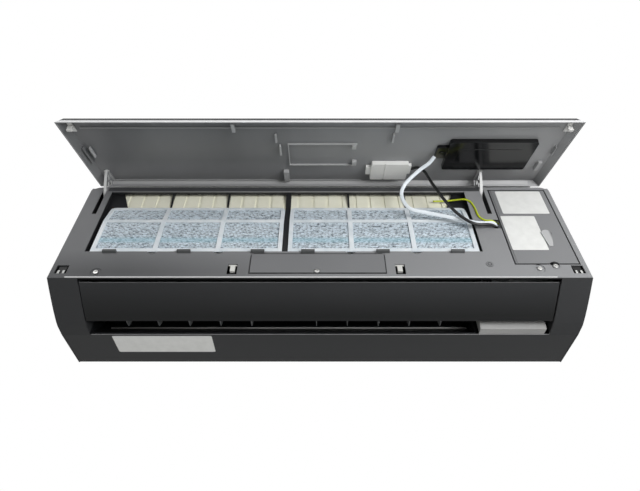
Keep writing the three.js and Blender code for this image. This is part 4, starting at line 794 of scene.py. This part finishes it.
# %% Dress the solids
SIDES = ("left", "right")
DRESS = (
    (frame_abs, ["front_frame"]),
    (panel_abs, ["front_panel"]),
    (arm_pom, [f"hinge_arm_{side}" for side in SIDES]),
    (grey_painted_pale, [f"latch_{side}" for side in SIDES] + ["sensor_module"]),
    (cover_abs, ["electrical_cover"]),
    (plate_abs, ["centre_cover"]),
    (button_abs, ["manual_button"]),
    (flap_abs, ["outlet_flap", "outlet_duct"]),
    (vane_abs, [f"vane_{i:02d}" for i in range(1, 11)] + [f"link_bar_{side}" for side in SIDES]),
    (black_abs, ["rear_chassis", "fan_wheel", "vane_motor", "flap_motor"]),
    (gloss_black, ["display_box"]),
    (grey_painted_dark, ["outlet_block"]),
    (filter_pp, [f"filter_frame_{side}" for side in SIDES]),
    (net, [f"filter_mesh_{side}" for side in SIDES]),
    (fins, ["coil_front", "coil_rear"]),
    (copper, ["coil_end_left", "coil_end_right", "gas_pipe", "liquid_pipe"]),
    (galvanised, ["wall_plate", "electrical_box", "fan_motor"]),
    (white_pbt, ["terminal_block"] + [f"hole_clip_{side}" for side in SIDES]),
    (catch_abs, [f"catch_{side}" for side in SIDES]),
    (board, ["control_board"]),
    (rubber, ["fan_bearing"]),
)
for look, names in DRESS:
    for name in names:
        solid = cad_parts[name]
        solid.data.materials.clear()
        solid.data.materials.append(look.material)
        solid.modifiers.new("weld_and_smooth", "NODES").node_group = shading
print(sum(len(names) for look, names in DRESS), "solids dressed")

# %% [markdown]
# ## Screws
# Each screw is turned from one profile, from the middle of its head over the rim and
# down the shank. The head is a shallow dome, and a cross-shaped recess is pressed into
# it: a point within half a slot's width of either diameter goes in, less so further out.

# %% Pan-head screws
HEAD_POINTS = 26
HEAD_SHARE = 0.94  # the dome ends at this share of the head's radius
SHANK_SHARE = 0.42
DOME_HEIGHT = 0.0007
RECESS_DEPTH, RECESS_REACH, RECESS_HALF = 0.0013, 0.0030, 0.00075
RECESS_WALL, RECESS_END = 0.0003, 0.0006  # its walls and its ends slope over these ways


def weld(piece):
    """Joins the points that a ring leaves in one place, such as in the middle of a disc."""
    piece.modifiers.new("merge", "WELD").merge_threshold = TOUCHING


def screw(node):
    """A head of the solid's own size with its front at the low y end, and its shank."""
    low, high = (np.array(corner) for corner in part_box(node))
    centre = (low + high) / 2
    head = (high[0] - low[0]) / 2
    depth = high[1] - low[1]
    dome_shares = np.linspace(0, HEAD_SHARE, HEAD_POINTS)
    shares = np.concatenate([dome_shares, [0.985, 1.0, 1.0, SHANK_SHARE, SHANK_SHARE, 0.0]])
    radius = shares * head
    dome = DOME_HEIGHT * (radius[:HEAD_POINTS] / head) ** 2
    back = np.concatenate([dome, [0.0009, 0.0013, 0.0030, 0.0030, depth - 0.001, depth]])
    turn = full_turn(96)
    x, z = radius[:, None] * np.cos(turn), radius[:, None] * np.sin(turn)
    slot = np.minimum(np.abs(x), np.abs(z))
    wide = np.clip((RECESS_HALF - slot) / RECESS_WALL, 0, 1)
    near = np.clip((RECESS_REACH - radius[:, None]) / RECESS_END, 0, 1)
    on_head = (np.arange(len(radius)) < HEAD_POINTS)[:, None]
    y = back[:, None] + RECESS_DEPTH * wide * near * on_head
    grid = np.stack([centre[0] + x, low[1] + y, centre[2] + z], -1)
    piece = mesh_from_grid(f"{node}_turned", grid, ring=True)
    weld(piece)
    piece.data.materials.append(screw_zinc.material)
    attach(piece, "chassis")
    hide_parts(node)
    print(node, "has a head", round(head * 2000, 1), "mm wide")


for node in ("frame_screw_left", "frame_screw_right", "cover_screw", "plate_screw"):
    screw(node)

# %% [markdown]
# ## A bead in the outlet
# A fine bead runs along the guide behind the vanes and stiffens it. It shows in the
# mouth of the outlet as one thin pale line.

# %% Guide bead
BEAD_Y, BEAD_Z, BEAD_RADIUS = 162.5, 42.6, 2.0
BEAD_ENDS = np.array([-460.0, 322.0])
turn = full_turn(12)
bead_grid = np.stack(
    [
        np.repeat(BEAD_ENDS[:, None], len(turn), 1),
        np.tile(BEAD_Y + BEAD_RADIUS * np.cos(turn), (2, 1)),
        np.tile(BEAD_Z + BEAD_RADIUS * np.sin(turn), (2, 1)),
    ],
    -1,
)
bead = mesh_from_grid("guide_bead", place(bead_grid), ring=True, capped=True)
bead.data.materials.append(grey_painted_dark.material)
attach(bead, "chassis")
print("the bead is", BEAD_ENDS[1] - BEAD_ENDS[0], "mm long")

# %% [markdown]
# ## Bare labels
# Two paper labels sit on the electrical cover and one on the underside. They are
# blank here. Each is a thin sheet with rounded corners: a rounded square is a circle
# pushed outwards, which a superellipse does with one exponent.

# %% Blank labels
CORNER_POWER = 0.05  # near 0, so the corners are only slightly round


def label(name, low, high, thick, out):
    """Rings of a superellipse from the middle to the rim, raised by thick along out.

    The two axes that out leaves free span low to high, all in unit millimetres.
    """
    turn = full_turn(64)
    rim = signed_power(np.stack([np.cos(turn), np.sin(turn)], -1), CORNER_POWER)
    middle, half = (np.array(low) + high) / 2, (np.array(high) - low) / 2
    spans = np.array([0.0, 1.0, 1.0, 0.0])
    lift = np.array([0.0, 0.0, thick, thick])
    free = np.flatnonzero(np.array(out) == 0)
    grid = np.zeros((len(spans), len(turn), 3)) + middle
    grid[..., free] += rim[None] * half[free] * spans[:, None, None]
    grid += lift[:, None, None] * np.array(out)
    sheet = mesh_from_grid(name, place(grid), ring=True, smooth=False)
    weld(sheet)
    sheet.data.materials.append(paper.material)
    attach(sheet, "chassis")
    print(name, "is", " by ".join(str(size) for size in 2 * half[free]), "mm")


label("rating_label", (412, -0.05, 238), (517, -0.05, 317), 0.15, (0, -1, 0))
label("serial_label", (403, -0.05, 124), (479, -0.05, 230), 0.15, (0, -1, 0))
label("notice_label", (-438, 132, 0.38), (-228, 192, 0.38), 0.12, (0, 0, -1))

# %% [markdown]
# ## Light and floor
# A wide soft lamp stands low in front and to the right. From there it reaches the inside
# of the raised panel as well as the face, and the left end stays a little darker. A
# weaker one on the left and the even light of the room fill the shadows. The camera, the
# mirror rays and the rays through clear plastic see plain white, so the background is
# white without any more light on the unit.

# %% Room light
ROOM_LIGHT, ROOM_SEEN = 0.4, 1.0
WHITE = (1.0, 1.0, 1.0, 1.0)
world = bpy.data.worlds.new("studio")
bpy.context.scene.world = world
world.use_nodes = True
tree = world.node_tree
tree.nodes.clear()
rays = add_node(tree, "ShaderNodeLightPath").outputs
seen = calculate(tree, "MAXIMUM", rays["Is Camera Ray"], rays["Is Glossy Ray"])
seen = calculate(tree, "MAXIMUM", seen, rays["Is Transmission Ray"])
strength = ramp(tree, seen, low=ROOM_LIGHT, high=ROOM_SEEN)
sky = add_node(tree, "ShaderNodeBackground", {"Color": WHITE, "Strength": strength})
add_node(tree, "ShaderNodeOutputWorld", {"Surface": sky.outputs[0]})


# %% Lamps
def soft_lamp(name, where, target, size, power):
    """A square area lamp at a place, facing a point, with its size in metres and watts."""
    lamp = bpy.data.objects.new(name, bpy.data.lights.new(name, "AREA"))
    bpy.context.scene.collection.objects.link(lamp)
    lamp.data.size = size
    lamp.data.energy = power
    lamp.location = where
    aim = lamp.location.copy()
    aim[:] = np.subtract(target, where)
    lamp.rotation_euler = aim.to_track_quat("-Z", "Y").to_euler()


soft_lamp("key", (1.5, -2.0, -1.0), (0.0, -0.2, 0.1), 1.3, 62)
soft_lamp("fill", (-1.6, -2.6, 0.9), (0.0, -0.2, 0.0), 1.4, 10)

# %% [markdown]
# The floor lies well below the unit. It glows a little, but only to the camera, so that
# it looks pale without lighting the unit from below.

# %% Floor
FLOOR_REACH, FLOOR_Z = 6.0, -1.3
FLOOR_GLOW = 0.42
ends = [-FLOOR_REACH, FLOOR_REACH]
corners = np.stack(np.meshgrid(ends, ends, [FLOOR_Z], indexing="ij"), -1)[:, :, 0]
floor = mesh_from_grid("floor", corners, smooth=False)
floor_paint = new_look("pale_floor")
tree, shader = floor_paint.tree, floor_paint.shader
shader.inputs["Base Color"].default_value = linear("#e4e4e2")
shader.inputs["Roughness"].default_value = 0.9
shader.inputs["Emission Color"].default_value = WHITE
to_camera = add_node(tree, "ShaderNodeLightPath").outputs["Is Camera Ray"]
glow = calculate(tree, "MULTIPLY", to_camera, FLOOR_GLOW)
tree.links.new(glow, shader.inputs["Emission Strength"])
floor.data.materials.append(floor_paint.material)

# %% [markdown]
# ## Finish
# The last line sets the colour transform of the picture to Standard.

# %% Finish
bpy.context.scene.view_settings.view_transform = "Standard"
